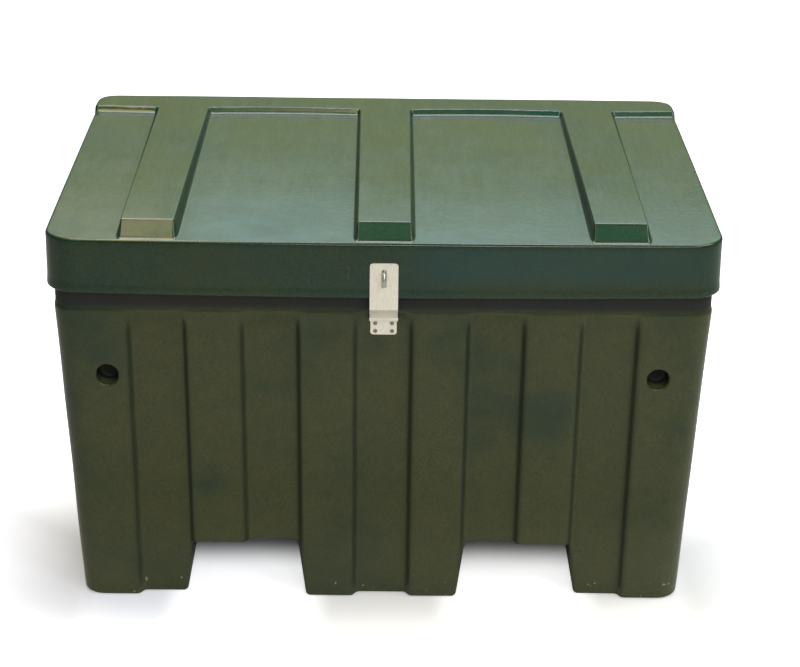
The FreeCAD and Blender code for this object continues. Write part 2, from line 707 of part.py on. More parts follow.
# The leaf's outer face lies a seat gap and a plate above the wall, whose plane is below the axis.
WALL_BELOW_AXIS = f"({HINGE_KNUCKLE} + seat_gap)"
tub_rows = ("-tub_bolt_first", "-tub_bolt_first - bolt_row_pitch")
lid_rows = ("lid_bolt_first", "lid_bolt_first + bolt_row_pitch")
tub_hinge = bolt_set("tub_hinge", grid(hinge_columns, tub_rows), [tub_hinge_frame(side) for _, side in SIDES],
                     TUB_LEAF_OUT, f"({WALL_BELOW_AXIS} + tub_wall)")
lid_hinge = bolt_set("lid_hinge", grid(hinge_columns, lid_rows), [lid_hinge_frame(side) for _, side in SIDES],
                     "(lid_leaf_gap + hinge_plate)", "lid_wall")
HINGE_HALF = "(hinge_width / 2)"
HINGE_MIDDLE = "(hinge_width / 2 - hinge_knuckle)"
hinge_nodes = {}
for index, (word, side) in enumerate(SIDES):
    tub_leaf, lid_leaf, hinge_pin = (f"hinge_{word}_{piece}" for piece in ("tub_leaf", "lid_leaf", "pin"))
    plate = leaf(f"{word}_tub_plate", tub_leaf_profile, "hinge_width", HINGE_KNUCKLE, "hinge_pin_radius",
                 HINGE_MIDDLE, True, HINGE_HALF, tub_hinge_frame(side))
    round_corners(plate, f"{word}_tub_plate_corners", "hinge_plate * 2", -1)
    hinge_nodes[tub_leaf] = cut_from(tub_leaf, plate, tub_hinge["drills"][index])
    plate = leaf(f"{word}_lid_plate", lid_leaf_profile, "hinge_width", HINGE_KNUCKLE, "hinge_pin_radius",
                 HINGE_MIDDLE, False, HINGE_HALF, hinge_axis_frame(side))
    round_corners(plate, f"{word}_lid_plate_corners", "hinge_plate * 2", 1)
    hinge_nodes[lid_leaf] = cut_from(lid_leaf, plate, lid_hinge["drills"][index])
    hinge_nodes[hinge_pin] = pin(hinge_pin, "hinge_pin_radius", "hinge_width", "(hinge_plate / 2)",
                                 HINGE_Y, HINGE_Z, f"{side} * {HINGE_X}")

# ---------------------------------------------------------------------------------------------------------
# Hasp: a leaf in the middle recess, the cranked flap and their pin

HASP_HALF = "(hasp_width / 2)"
HASP_MIDDLE = "(hasp_width / 2 - hasp_knuckle)"
HASP_LEAF_OUT = f"(-{HASP_KNUCKLE} + hasp_plate)"
hasp_leaf_profile = [(f"-{HASP_KNUCKLE}", "0"), (HASP_LEAF_OUT, "0"), (HASP_LEAF_OUT, "hasp_leaf_height"),
                     (f"-{HASP_KNUCKLE}", "hasp_leaf_height")]
hasp_places = grid(("-screw_spacing / 2", "screw_spacing / 2"),
                   ("screw_first", "screw_first + screw_row_pitch"))
hasp_joint = bolt_set("hasp", hasp_places, [HASP_LEAF_FRAME], HASP_LEAF_OUT,
                      f"({HASP_KNUCKLE} + seat_gap + tub_wall)", small=True)
hasp_plate = leaf("hasp_leaf_plate", hasp_leaf_profile, "hasp_leaf_width", HASP_KNUCKLE, "hasp_pin_radius",
                  HASP_MIDDLE, True, HASP_HALF, HASP_LEAF_FRAME)
round_corners(hasp_plate, "hasp_leaf_corners", "hasp_corner_radius", 1)
hasp_leaf = cut_from("hasp_leaf", hasp_plate, hasp_joint["drills"][0])


def flap_face(height):
    """The flap's inner face, from the axis out to the front, at a height above the axis."""
    skirt = f"-{LID_HALF_DEPTH} + ({HASP_Z} + {height} - {LID_FOOT}) * {SKIRT_SLOPE}"
    return f"({skirt} - {FLAP_OFF} - {HASP_Y})"


foot_face, top_face = flap_face(FLAP_FOOT), flap_face(FLAP_TOP)
crank_lean = f"atan((-{HASP_KNUCKLE} - {foot_face} + hasp_plate) / ({FLAP_FOOT} - crank_start))"
mitre = f"(hasp_plate * tan({crank_lean} / 2))"
flap_profile = [(f"-{HASP_KNUCKLE}", "0"), (f"-{HASP_KNUCKLE}", "crank_start"),
                (f"{foot_face} - hasp_plate", FLAP_FOOT), (f"{top_face} - hasp_plate", FLAP_TOP),
                (top_face, FLAP_TOP), (foot_face, f"{FLAP_FOOT} + {mitre}"),
                (HASP_LEAF_OUT, f"crank_start + {mitre}"), (HASP_LEAF_OUT, "0")]
hasp_flap = leaf("hasp_flap", flap_profile, "hasp_width", HASP_KNUCKLE, "hasp_pin_radius",
                 HASP_MIDDLE, False, HASP_HALF, HASP_AXIS_FRAME)
slot = new_sketch(hasp_flap, "XZ_Plane", "flap_slot_outline")
rounded_rectangle(slot, "slot_width / 2", "slot_length / 2", "slot_width * 0.45",
                  f"{STAPLE_Z} + slot_lift - {HASP_Z}")
pocket(hasp_flap, "flap_slot", slot, f"2 * ({LID_HALF_DEPTH} + {HASP_Y} + margin)")
round_corners(hasp_flap, "flap_corners", "hasp_corner_radius", 1)
hasp_pin = pin("hasp_pin", "hasp_pin_radius", "hasp_width", "(hasp_plate / 3)", HASP_Y, HASP_Z)

# ---------------------------------------------------------------------------------------------------------
# Staple: a plate with a loop of round wire that stands out through the flap's slot

staple_joint = bolt_set("staple", grid(("0",), ("-staple_screw_pitch / 2", "staple_screw_pitch / 2")),
                        [STAPLE_FRAME], "(seat_gap + staple_plate)", "lid_wall", small=True)
staple_body = new_body("staple_blank")
plate_outline = new_sketch(staple_body, "XZ_Plane", "staple_plate_outline", lift="-seat_gap")
rounded_rectangle(plate_outline, "staple_plate_width / 2", "staple_plate_height / 2",
                  "staple_plate_width / 6")
plate_pad = pad(staple_body, "staple_plate_pad", plate_outline, "staple_plate", both_ways=False)
plate_pad.Reversed = True
LEG_END = f"({FLAP_OFF} + hasp_plate)"
legs = new_sketch(staple_body, "XZ_Plane", "staple_leg_outline", lift=f"-{LEG_END}")
for side in (-1, 1):
    circle(legs, "0", f"{side} * staple_reach", "staple_wire_radius")
pad(staple_body, "staple_legs", legs, f"{LEG_END} - seat_gap - staple_plate / 2", both_ways=False)
bow_outline = new_sketch(staple_body, "XZ_Plane", "staple_bow_outline", lift=f"-{LEG_END}")
circle(bow_outline, "0", "staple_reach", "staple_wire_radius")
bow = staple_body.newObject("PartDesign::Revolution", "staple_bow")
bow.Profile = bow_outline
bow.ReferenceAxis = (bow_outline, ["H_Axis"])
bow.Angle = 180
bow.Reversed = True
bind(staple_body, Placement=STAPLE_FRAME)
staple = cut_from("staple", staple_body, staple_joint["drills"][0])

# ---------------------------------------------------------------------------------------------------------
# The two mouldings, drilled for their metal

tub_skin = cut_from("tub_skin", tub_form("tub_outside", "0"), tub_form("tub_inside", "tub_wall"))
tub_drills = group("tub_drills", tub_hinge["drills"] + hasp_joint["drills"])
tub = cut_from("tub", tub_skin, tub_drills)
lid_skin = cut_from("lid_skin", lid_form("lid_outside", "0"), lid_form("lid_inside", "lid_wall"))
lid = cut_from("lid", lid_skin, group("lid_drills", lid_hinge["drills"] + staple_joint["drills"]))

nodes = {"tub": tub, "lid": lid, "hasp_leaf": hasp_leaf, "hasp_flap": hasp_flap,
         "hasp_pin": hasp_pin, "staple": staple}
nodes.update(hinge_nodes)
for word, joint, screws in (("tub_hinge", tub_hinge, "bolts"), ("lid_hinge", lid_hinge, "bolts"),
                            ("hasp", hasp_joint, "screws"), ("staple", staple_joint, "screws")):
    nodes[f"{word}_{screws}"] = group(f"{word}_{screws}", joint["bolts"])
    nodes[f"{word}_washers"] = group(f"{word}_washers", joint["washers"])
    nodes[f"{word}_nuts"] = group(f"{word}_nuts", joint["nuts"])

doc.recompute()
for item in doc.Objects:
    if "Invalid" in item.State or "Error" in item.State:
        raise RuntimeError(f"{item.Name} failed: {item.State}")
os.makedirs("parts", exist_ok=True)
for name, item in nodes.items():
    item.Label = name
    if item.Shape.isNull() or not item.Shape.isValid():
        raise RuntimeError(f"{name} has no valid shape")
    item.Shape.exportStep(f"parts/{name}.step")
    box = item.Shape.BoundBox
    print(f"{name:22s} solids {len(item.Shape.Solids):2d}  volume {item.Shape.Volume:12.1f}  "
          f"x {box.XMin:8.2f} {box.XMax:8.2f}  y {box.YMin:8.2f} {box.YMax:8.2f}  "
          f"z {box.ZMin:7.2f} {box.ZMax:7.2f}")
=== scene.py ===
"""Grit salt bin: the soft forms of its two mouldings and the finish of every piece.

Metres, +X to the right, -Y to the front, +Z up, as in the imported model.
"""
import math

import bmesh
import bpy
import numpy as np
from mathutils import Matrix, Vector


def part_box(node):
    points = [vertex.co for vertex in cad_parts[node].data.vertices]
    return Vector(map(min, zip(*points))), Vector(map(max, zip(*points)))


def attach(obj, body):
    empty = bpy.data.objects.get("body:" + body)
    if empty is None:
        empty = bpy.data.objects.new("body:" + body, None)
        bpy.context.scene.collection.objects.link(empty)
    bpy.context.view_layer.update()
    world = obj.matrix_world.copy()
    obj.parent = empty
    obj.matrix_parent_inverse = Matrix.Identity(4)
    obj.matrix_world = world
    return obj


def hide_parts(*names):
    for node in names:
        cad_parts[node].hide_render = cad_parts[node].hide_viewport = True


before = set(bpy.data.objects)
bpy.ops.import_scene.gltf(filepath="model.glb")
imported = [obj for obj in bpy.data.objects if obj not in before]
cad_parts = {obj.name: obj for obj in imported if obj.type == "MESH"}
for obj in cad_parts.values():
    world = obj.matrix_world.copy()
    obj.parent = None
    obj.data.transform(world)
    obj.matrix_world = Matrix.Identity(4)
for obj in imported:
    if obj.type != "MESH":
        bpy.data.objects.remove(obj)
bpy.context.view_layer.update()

MM = 0.001

# Outer box of the two mouldings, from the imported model
tub_low, tub_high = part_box("tub")
lid_low, lid_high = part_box("lid")
TUB_HALF_X, TUB_HALF_Y = tub_high.x, -tub_low.y
LID_HALF_X, LID_HALF_Y = lid_high.x, lid_high.y
RIM_TOP = tub_high.z
LID_FOOT = lid_low.z
RIB_TOP = lid_high.z

# Tub
FOOT_HALF_X, FOOT_HALF_Y = 567 * MM, 343 * MM
SHOULDER = 602 * MM
NECK_TOP = 645 * MM
RIM_LEAN = 12 * MM
NECK_STEP = 2.2 * MM           # the neck stands this far in from the shoulder
NECK_RUN, NECK_SOFT = 7 * MM, 3.2 * MM
TUB_WALL = 6 * MM
TUB_CORNER = 42 * MM
PITCH = 202.5 * MM             # of the upright recesses
RECESS_HALF = 50 * MM
RECESS_DEPTH = 15 * MM
RECESS_TOP = 596 * MM
FLANK_RUN = 9.5 * MM           # a recess's flank, seen square to the wall
FLANK_SOFT = 3.4 * MM
FADE_RUN = 38 * MM             # a recess fades in over this height below its top
SHORT_FADE = 9 * MM            # and over this height just behind the hasp
HASP_REACH = 41 * MM           # from the middle
FRONT_RECESSES = np.arange(-2, 3) * PITCH
SIDE_RECESSES = np.arange(-1, 2) * PITCH
FRONT_CORE = 466 * MM          # corrugated part of a wall, each side of its middle
SIDE_CORE = 264 * MM
FOOT_LIP = 7 * MM              # radius round the feet and the tunnel mouths
INNER_LIP = 3 * MM             # and inside them
FOOT_CORNERS = [10 * MM, 16 * MM, 16 * MM, 10 * MM]     # radii of a tunnel's four corners
SOLE_BLEND = 90 * MM           # the sheet under a skin takes up its edge's shape over this length
TUNNEL_X = 255.5 * MM
TUNNEL_HALF = 113 * MM         # at the ground
TUNNEL_ROOF = 117 * MM
TUNNEL_DRAFT = 14 * MM
SOCKET_X, SOCKET_Z = 497 * MM, 471 * MM
SOCKET_RADIUS = 20 * MM
SOCKET_BOTTOM = -332 * MM
SOCKET_LIP = 4.5 * MM
SOCKET_FOOT = 5 * MM           # radius between its wall and its bottom
CORNER_LINES = 7               # lines of the mesh round a corner
FRONT_LINES, SIDE_LINES = 14, 4         # between the corrugated part of a wall and its corner
SAMPLE_ROW = 20                # a row of either skin, whose columns tell where the sockets go

# Lid
LID_CORNER = 58 * MM
LID_WALL = 6 * MM
CEILING_WALL = 5 * MM          # thickness of its top
PANEL_FRONT = 738.5 * MM
PANEL_RISE = 19.5 * MM
CROWN = 0.35                   # the panel climbs steeper in front than at the back
SKIRT_LEAN = 0.9 / 99.5        # the skirt leans in by this much for each unit of height
EDGE_RADIUS = 5.5 * MM         # between the skirt and the top
BEAD_HEIGHT = 12.5 * MM        # thick band along the skirt's lower edge
BEAD_STEP = 0.9 * MM
BEAD_RUN, BEAD_SOFT = 10 * MM, 4.9 * MM
RIB_PLACES = np.array([-415, 0, 415]) * MM
RIB_HALF = 49.5 * MM
RIB_DROOP = 2.2 * MM           # a rib's top falls by this much to its nose
DROOP_FROM, DROOP_RUN = 120 * MM, 250 * MM      # in front of the middle
RIB_FLARE = 2.3 * MM           # half of a rib grows by this much to the back, and shrinks so to the front
FLARE_REACH = 45 * MM
RIB_RUN = 4.5 * MM             # a rib's side, seen from above
# painted shade on a rib's sides: less on its right side, which faces the lamps, than on its left
RIB_SHADE = 0.62, 0.85          # on a rib's right and on its left side
NOSE_TOP, NOSE_FOOT = -362 * MM, -389.5 * MM
PANEL_MIDDLE = 208 * MM        # from the middle of the nearest rib
RIDGE_FOOT, RIDGE_TOP_EDGE = 315 * MM, 323 * MM
RIB_SOFT = 2.6 * MM, 1.8 * MM           # how soft the bends at its foot and at its top are
NOSE_SOFT = 4 * MM, 2.5 * MM
RIDGE_SOFT = 7 * MM, 2 * MM
RIDGE_ARCH = 9 * MM            # the ridge's front edge arches back by this much between two ribs
BACK_CORNER = 3.4              # power of the back corners' curve, where 2 is a circle
LID_BOW = 8 * MM               # the front's corners stand back from its middle
LID_DROOP = 3 * MM             # the skirt's lower edge hangs lower in the middle
TOP_WARP, SKIRT_WARP = 0.5, 0.8         # shares of the tub's warp
LID_FAN_X, LID_FAN_Y = 9, 22            # lines of the mesh round a corner


# --------------------------------------------------------------------------------------------------
# Numbers

def soft_positive(x, soft):
    """0 below -soft, x above soft and a parabola between them."""
    return np.where(x < -soft, 0, np.where(x > soft, x, (x + soft) ** 2 / (4 * soft)))


def ramp(x, run, soft, soft_top=None):
    """From 0 to 1 as x goes from 0 to run, with its two bends rounded by parabolas 2 * soft long."""
    return (soft_positive(x, soft) - soft_positive(x - run, soft_top or soft)) / run


def spread(low, high, coarse, marks):
    """Places from low to high with spacing h(x) = min(coarse, fine + 0.6 * distance past a mark's reach).

    marks are (place, reach, fine); the places have equal steps of the integral of 1 / h.
    """
    x = np.linspace(low, high, 8000)
    place, reach, fine = (np.array(column)[:, None] for column in zip(*marks))
    spacing = np.minimum(coarse, (fine + 0.6 * np.maximum(np.abs(x - place) - reach, 0)).min(axis=0))
    count = np.concatenate([[0], np.cumsum(np.diff(x) * 2 / (spacing[1:] + spacing[:-1]))])
    return np.interp(np.linspace(0, count[-1], math.ceil(count[-1]) + 1), count, x)


def rounded_path(points, radii, step):
    """Points along straight runs joined by tangent arcs, and the unit normals to the right of the path.

    Each arc turns about centre = corner + r / cos(half turn) along the bisector.
    """
    points = np.array(points, float)
    rows, normals = [points[:1]], []
    for corner, radius, before, after in zip(points[1:-1], radii, points[:-2], points[2:]):
        a, b = corner - before, after - corner
        a, b = a / np.linalg.norm(a), b / np.linalg.norm(b)
        turn = math.atan2(a[0] * b[1] - a[1] * b[0], a @ b)
        reach = radius * abs(math.tan(turn / 2))
        side = math.copysign(1, turn)
        centre = corner - a * reach + side * radius * np.array([-a[1], a[0]])
        angle = np.linspace(0, turn, max(3, math.ceil(abs(turn) * radius / step)))[:, None]
        arm = -side * radius * np.array([-a[1], a[0]])
        rows.append(centre + np.cos(angle) * arm + np.sin(angle) * np.array([-arm[1], arm[0]]))
    rows.append(points[-1:])
    corners = np.concatenate(rows)
    length = np.concatenate([[0], np.cumsum(np.linalg.norm(np.diff(corners, axis=0), axis=1))])
    s = np.linspace(0, length[-1], math.ceil(length[-1] / step))
    path = np.stack([np.interp(s, length, corners[:, k]) for k in (0, 1)], axis=1)
    along = np.gradient(path, axis=0)
    along /= np.linalg.norm(along, axis=1, keepdims=True)
    return path, np.stack([along[:, 1], -along[:, 0]], axis=1)


# --------------------------------------------------------------------------------------------------
# Rounded sheets: a grid of lines whose corner squares are bent onto quarter discs

def ruled(core, stretch, fan):
    """Lines across a sheet as (fixed, share, bend): each is at fixed + share * (half - r) + bend * r."""
    edge = abs(core[-1])
    w = np.linspace(1, 0, stretch + 1)[:-1]
    q = np.linspace(1, 0, fan + 1)[:-1]
    fixed = np.concatenate([q * 0, -edge * (1 - w), core, edge * (1 - w[::-1]), q * 0])
    share = np.concatenate([q * 0 - 1, -w, core * 0, w[::-1], q * 0 + 1])
    bend = np.concatenate([-q, w * 0, core * 0, w * 0, q[::-1]])
    return fixed, share, bend


def bent(lines_x, lines_y):
    """Corner squares onto quarter discs: x' = x sqrt(1 - y^2 / 2) and y' = y sqrt(1 - x^2 / 2)."""
    p, q = np.meshgrid(lines_x[2], lines_y[2], indexing="ij")
    return p * np.sqrt(1 - q ** 2 / 2), q * np.sqrt(1 - p ** 2 / 2)


def sheet(lines_x, lines_y, core_x, core_y, radius):
    """Plan of a rounded sheet whose corner arcs have their centres at (+-core_x, +-core_y)."""
    bend_x, bend_y = bent(lines_x, lines_y)
    x = (lines_x[0] + lines_x[1] * core_x)[:, None] + radius * bend_x
    y = (lines_y[0] + lines_y[1] * core_y)[None, :] + radius * bend_y
    return x, y


def rim_of(count_x, count_y):
    """Indices of a grid's boundary in order: front row, right column, back row, left column."""
    i = np.concatenate([np.arange(count_x), np.full(count_y - 1, count_x - 1),
                        np.arange(count_x - 2, -1, -1), np.zeros(count_y - 2, int)])
    j = np.concatenate([np.zeros(count_x, int), np.arange(1, count_y),
                        np.full(count_x - 1, count_y - 1), np.arange(count_y - 2, 0, -1)])
    return i, j


def quads(index, closed=False):
    """The quads between neighbouring rows and columns of an index array."""
    if closed:
        index = np.concatenate([index, index[:, :1]], axis=1)
    corners = [index[:-1, :-1], index[1:, :-1], index[1:, 1:], index[:-1, 1:]]
    return np.stack(corners, axis=-1).reshape(-1, 4)


def new_object(name, data):
    """An object in the scene that shows the data."""
    thing = bpy.data.objects.new(name, data)
    bpy.context.scene.collection.objects.link(thing)
    return thing


def make_mesh(name, points, faces, material, body, replaced, **marks):
    """A smooth mesh object from points and lists of faces, with its faces turned outwards.

    Each mark is a number for each point that is kept with the mesh under its name.
    """
    mesh = bpy.data.meshes.new(name)
    mesh.from_pydata(points.tolist(), [], [face for block in faces for face in block.tolist()])
    for mark, values in marks.items():
        mesh.attributes.new(mark, "FLOAT", "POINT").data.foreach_set("value", values)
    work = bmesh.new()
    work.from_mesh(mesh)
    bmesh.ops.remove_doubles(work, verts=work.verts, dist=1e-6)
    bmesh.ops.delete(work, geom=[v for v in work.verts if not v.link_faces], context="VERTS")
    bmesh.ops.recalc_face_normals(work, faces=work.faces)
    work.to_mesh(mesh)
    work.free()
    mesh.shade_smooth()
    mesh.materials.append(material)
    piece = new_object(name, mesh)
    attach(piece, body)
    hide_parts(replaced)


def warp(x, y, z):
    """Slow uneven swell of a thin moulded wall, a sum of sines about 0.5 mm high."""
    return 0.28 * MM * (np.sin(17 * x + 5 * z + 1.3) + np.sin(23 * z - 9 * x + 11 * y)
                        + 0.7 * np.sin(31 * y + 13 * z + 0.4) + 0.5 * np.sin(47 * x + 29 * z + 2.1))


# --------------------------------------------------------------------------------------------------
# Tub

def bars(along, places):
    """1 on the floor of an upright recess and 0 between them: a soft bar about each place."""
    off = np.abs(along[..., None] - places)
    return ramp(RECESS_HALF + FLANK_RUN / 2 - off, FLANK_RUN, FLANK_SOFT).max(axis=-1)


def fade(along, z, hasp_side):
    """1 below the top of a recess and 0 above it, over a long run that is short just behind the hasp."""
    slow = ramp(RECESS_TOP + 4 * MM - z, FADE_RUN, 6 * MM, 16 * MM)
    short = ramp(RECESS_TOP + 5 * MM - z, SHORT_FADE, 4 * MM)
    near = np.clip((HASP_REACH - np.abs(along)) / (12 * MM), 0, 1) * hasp_side
    return slow + near * (short - slow)


def tub_halves(z):
    """Half width and half depth at a height: a slope to the shoulder, a step, the neck, its leaning rim."""
    climb = np.minimum(z, SHOULDER) / SHOULDER
    step = NECK_STEP * ramp(z - SHOULDER + 4 * MM, NECK_RUN, NECK_SOFT)
    lean = RIM_LEAN * np.clip((z - NECK_TOP) / (RIM_TOP - NECK_TOP), 0, 1)
    half_x = FOOT_HALF_X + (TUB_HALF_X - FOOT_HALF_X) * climb - step - lean
    half_y = FOOT_HALF_Y + (TUB_HALF_Y - FOOT_HALF_Y) * climb - step - lean
    return half_x, half_y


def tub_side(fixed, share, normal, z, inset):
    """Points of the tub's wall: arc centre + radius * normal, moved in by inset, recesses and warp."""
    half_x, half_y = tub_halves(z)
    x = fixed[0] + share[0] * (half_x - TUB_CORNER) + TUB_CORNER * normal[0]
    y = fixed[1] + share[1] * (half_y - TUB_CORNER) + TUB_CORNER * normal[1]
    front = np.abs(normal[1]) > np.abs(normal[0])
    sunk = np.where(front, bars(x, FRONT_RECESSES) * fade(x, z, normal[1] < 0),
                    bars(y, SIDE_RECESSES) * fade(y, z, 0))
    settle = np.clip((NECK_TOP - z) / (NECK_TOP - SHOULDER), 0, 1)
    inward = inset + RECESS_DEPTH * sunk + warp(x, y, z) * settle
    return np.stack([x - inward * normal[0], y - inward * normal[1], z + 0 * x], axis=-1)


def foot_line():
    """The line of the feet and tunnel roofs along X, with its outward normals.

    It has more points where a recess's flank or a bend needs them.
    """
    outline, radii = [(-FRONT_CORE, 0)], []
    for middle in (-TUNNEL_X, TUNNEL_X):
        top = TUNNEL_HALF - TUNNEL_DRAFT
        outline += [(middle - TUNNEL_HALF, 0), (middle - top, TUNNEL_ROOF),
                    (middle + top, TUNNEL_ROOF), (middle + TUNNEL_HALF, 0)]
        radii += FOOT_CORNERS
    outline.append((FRONT_CORE, 0))
    path, normal = rounded_path(outline, radii, 0.3 * MM)
    edges = np.concatenate([FRONT_RECESSES - RECESS_HALF, FRONT_RECESSES + RECESS_HALF])
    off = np.abs(path[:, :1] - edges).min(axis=1)
    step_x = np.minimum(30 * MM, 2.8 * MM + 0.9 * np.maximum(off - 5 * MM, 0))
    bend = np.abs(np.gradient(np.arctan2(normal[:, 0], -normal[:, 1])))
    step = np.abs(np.gradient(path, axis=0))
    count = np.cumsum(step[:, 0] / step_x + step[:, 1] / (14 * MM) + bend / 0.34)
    count -= count[0]
    pick = np.interp(np.linspace(0, count[-1], math.ceil(count[-1]) + 1), count, np.arange(len(count)))
    return [np.interp(pick, np.arange(len(count)), column) for column in (*path.T, *normal.T)]


def tub_skin(inset, lip, levels, across_y, foot):
    """Rows of one skin of the tub, from its foot's lip up to the top, and the sheet under it.

    A lip row is wall + lip * (sin a * down - (1 - cos a) * out). The wall rows run from the lip to a
    common height and then through the given levels.
    """
    foot_x, foot_z, down_x, down_z = foot
    lines_x = ruled(foot_x - (inset + lip) * down_x, FRONT_LINES, CORNER_LINES)
    lines_y = ruled(across_y, SIDE_LINES, CORNER_LINES)
    padding = (len(lines_x[0]) - len(foot_x)) // 2
    edge_z = np.pad(foot_z - (inset + lip) * down_z, padding, mode="edge")
    down = np.stack([np.pad(down_x, padding), 0 * edge_z,
                     np.pad(down_z, padding, constant_values=-1)], axis=1)
    i, j = rim_of(len(lines_x[0]), len(lines_y[0]))
    bend_x, bend_y = bent(lines_x, lines_y)
    out = np.stack([bend_x[i, j], bend_y[i, j]])
    fixed = lines_x[0][i], lines_y[0][j]
    share = lines_x[1][i], lines_y[1][j]
    ends = (j == 0) | (j == len(lines_y[0]) - 1)
    start = np.where(ends, edge_z[i], inset + lip)
    drop = np.where(ends[:, None], down[i], np.array([0, 0, -1.0]))
    rows = []
    for angle in np.linspace(math.pi / 2, 0, 5)[:-1]:
        side = tub_side(fixed, share, out, start, inset + lip * (1 - math.cos(angle)))
        rows.append(side + lip * math.sin(angle) * drop)
    common = levels[0]
    for part in np.linspace(0, 1, 7)[:-1]:
        rows.append(tub_side(fixed, share, out, start + part * (common - start), inset))
    for z in levels:
        rows.append(tub_side(fixed, share, out, np.full(len(i), z), inset))
    rows = np.stack(rows)

    half_x, half_y = tub_halves(np.array(inset + lip))
    sole = ruled(foot_x - inset * down_x, FRONT_LINES, CORNER_LINES)
    x, y = sheet(sole, lines_y, half_x - TUB_CORNER, half_y - TUB_CORNER, TUB_CORNER - inset - lip)
    miss = np.zeros(x.shape + (2,))
    miss[i, j] = rows[0, :, :2] - np.stack([x[i, j], y[i, j]], axis=1)

    def near(edge, places):
        """1 at an edge of the sheet, down to 0 at SOLE_BLEND from it."""
        return np.clip(1 - np.abs(places - edge) / SOLE_BLEND, 0, 1) ** 2

    left, right, ahead, behind = near(x[:1], x), near(x[-1:], x), near(y[:, :1], y), near(y[:, -1:], y)
    x = x + left * miss[:1, :, 0] + right * miss[-1:, :, 0]
    y = y + ahead * miss[:, :1, 1] + behind * miss[:, -1:, 1]
    z = np.pad(foot_z - inset * down_z, padding, mode="edge")[:, None] + 0 * x
    return rows, np.stack([x, y, z], axis=-1), (i, j), out.T


def socket_rings(border, inset, lip):
    """One skin of a blind socket in the front wall, as rings from the border of the opened wall inwards.

    The rings go straight from the border to a circle, over a quarter-round lip, along the bore, round its
    foot and over its bottom.
    """
    centre = np.array([math.copysign(SOCKET_X, border[:, 0].mean()), SOCKET_Z])
    radius, bottom, foot = SOCKET_RADIUS + inset, SOCKET_BOTTOM + inset, SOCKET_FOOT
    angle = np.arctan2(border[:, 2] - centre[1], border[:, 0] - centre[0])
    ray = np.stack([np.cos(angle), np.sin(angle)], axis=1)
    mouth = centre + (radius + lip) * ray
    rings = []

    def ring(plan, y):
        rings.append(np.stack([plan[:, 0], y + 0 * angle, plan[:, 1]], axis=1))

    def wall(plan):
        half_y = tub_halves(plan[:, 1])[1]
        return inset - half_y + warp(plan[:, 0], -half_y, plan[:, 1])

    for part in (0.34, 0.67, 1):
        plan = border[:, [0, 2]] * (1 - part) + mouth * part
        ring(plan, wall(plan))
    edge = wall(mouth)
    for turn in np.linspace(0, math.pi / 2, 6)[1:]:
        ring(centre + (radius + lip * (1 - math.sin(turn))) * ray, edge + lip * (1 - math.cos(turn)))
    for part in (0.35, 0.7, 1):
        ring(centre + radius * ray, (edge + lip) * (1 - part) + (bottom - foot) * part)
    for turn in np.linspace(0, math.pi / 2, 4)[1:]:
        ring(centre + (radius - foot * (1 - math.cos(turn))) * ray, bottom - foot * (1 - math.sin(turn)))
    for reach in (0.5, 0):
        ring(centre + reach * radius * ray, bottom)
    return np.stack(rings)


def tub_shading(points, outer, out):
    """Painted shade at each point of the tub, whose first points are the outer rows.

    On the front and the back, a recess's right flank, which faces away from the lamps on the right, has
    painted shade 3 b (1 - b), where b is its bar. The left flank has a thinner line of painted shade that
    peaks at b = 1 / 4, nearer the panel. A socket has 1 inside, painted shade in the hole, and -1 low on
    its wall, painted light where light falls.
    """
    x, y, z = np.moveaxis(outer, -1, 0)
    bar = np.where(np.abs(out[:, 0]) > 0.95, bars(y, SIDE_RECESSES), bars(x, FRONT_RECESSES))
    # rounding takes some bars just past 1, where the powers below have no value
    bar = np.clip(bar, 0, 1)
    off = x - np.rint(x / PITCH) * PITCH
    wide = 3 * bar * (1 - bar)
    thin = 0.62 * bar ** 0.6 * (1 - bar) ** 1.8 / (0.25 ** 0.6 * 0.75 ** 1.8)
    shading = np.zeros(len(points))
    shading[:bar.size] = (np.where(off > 0, wide, thin) * fade(x, z, 0) * (z > 20 * MM)).ravel()
    deep = np.clip((points[:, 1] + TUB_HALF_Y - 14 * MM) / (9 * MM), 0, 1)
    for side in (-1, 1):
        ray = (points[:, 0] - side * SOCKET_X) / SOCKET_RADIUS, (points[:, 2] - SOCKET_Z) / SOCKET_RADIUS
        inside = (np.hypot(*ray) < 1.05) & (points[:, 1] < SOCKET_BOTTOM + 1 * MM)
        lit = np.where(points[:, 1] < SOCKET_BOTTOM - 6 * MM, np.interp(ray[1], [-0.9, -0.4], [-1, 1]), 1)
        shading = np.where(inside, deep * lit, shading)
    return shading


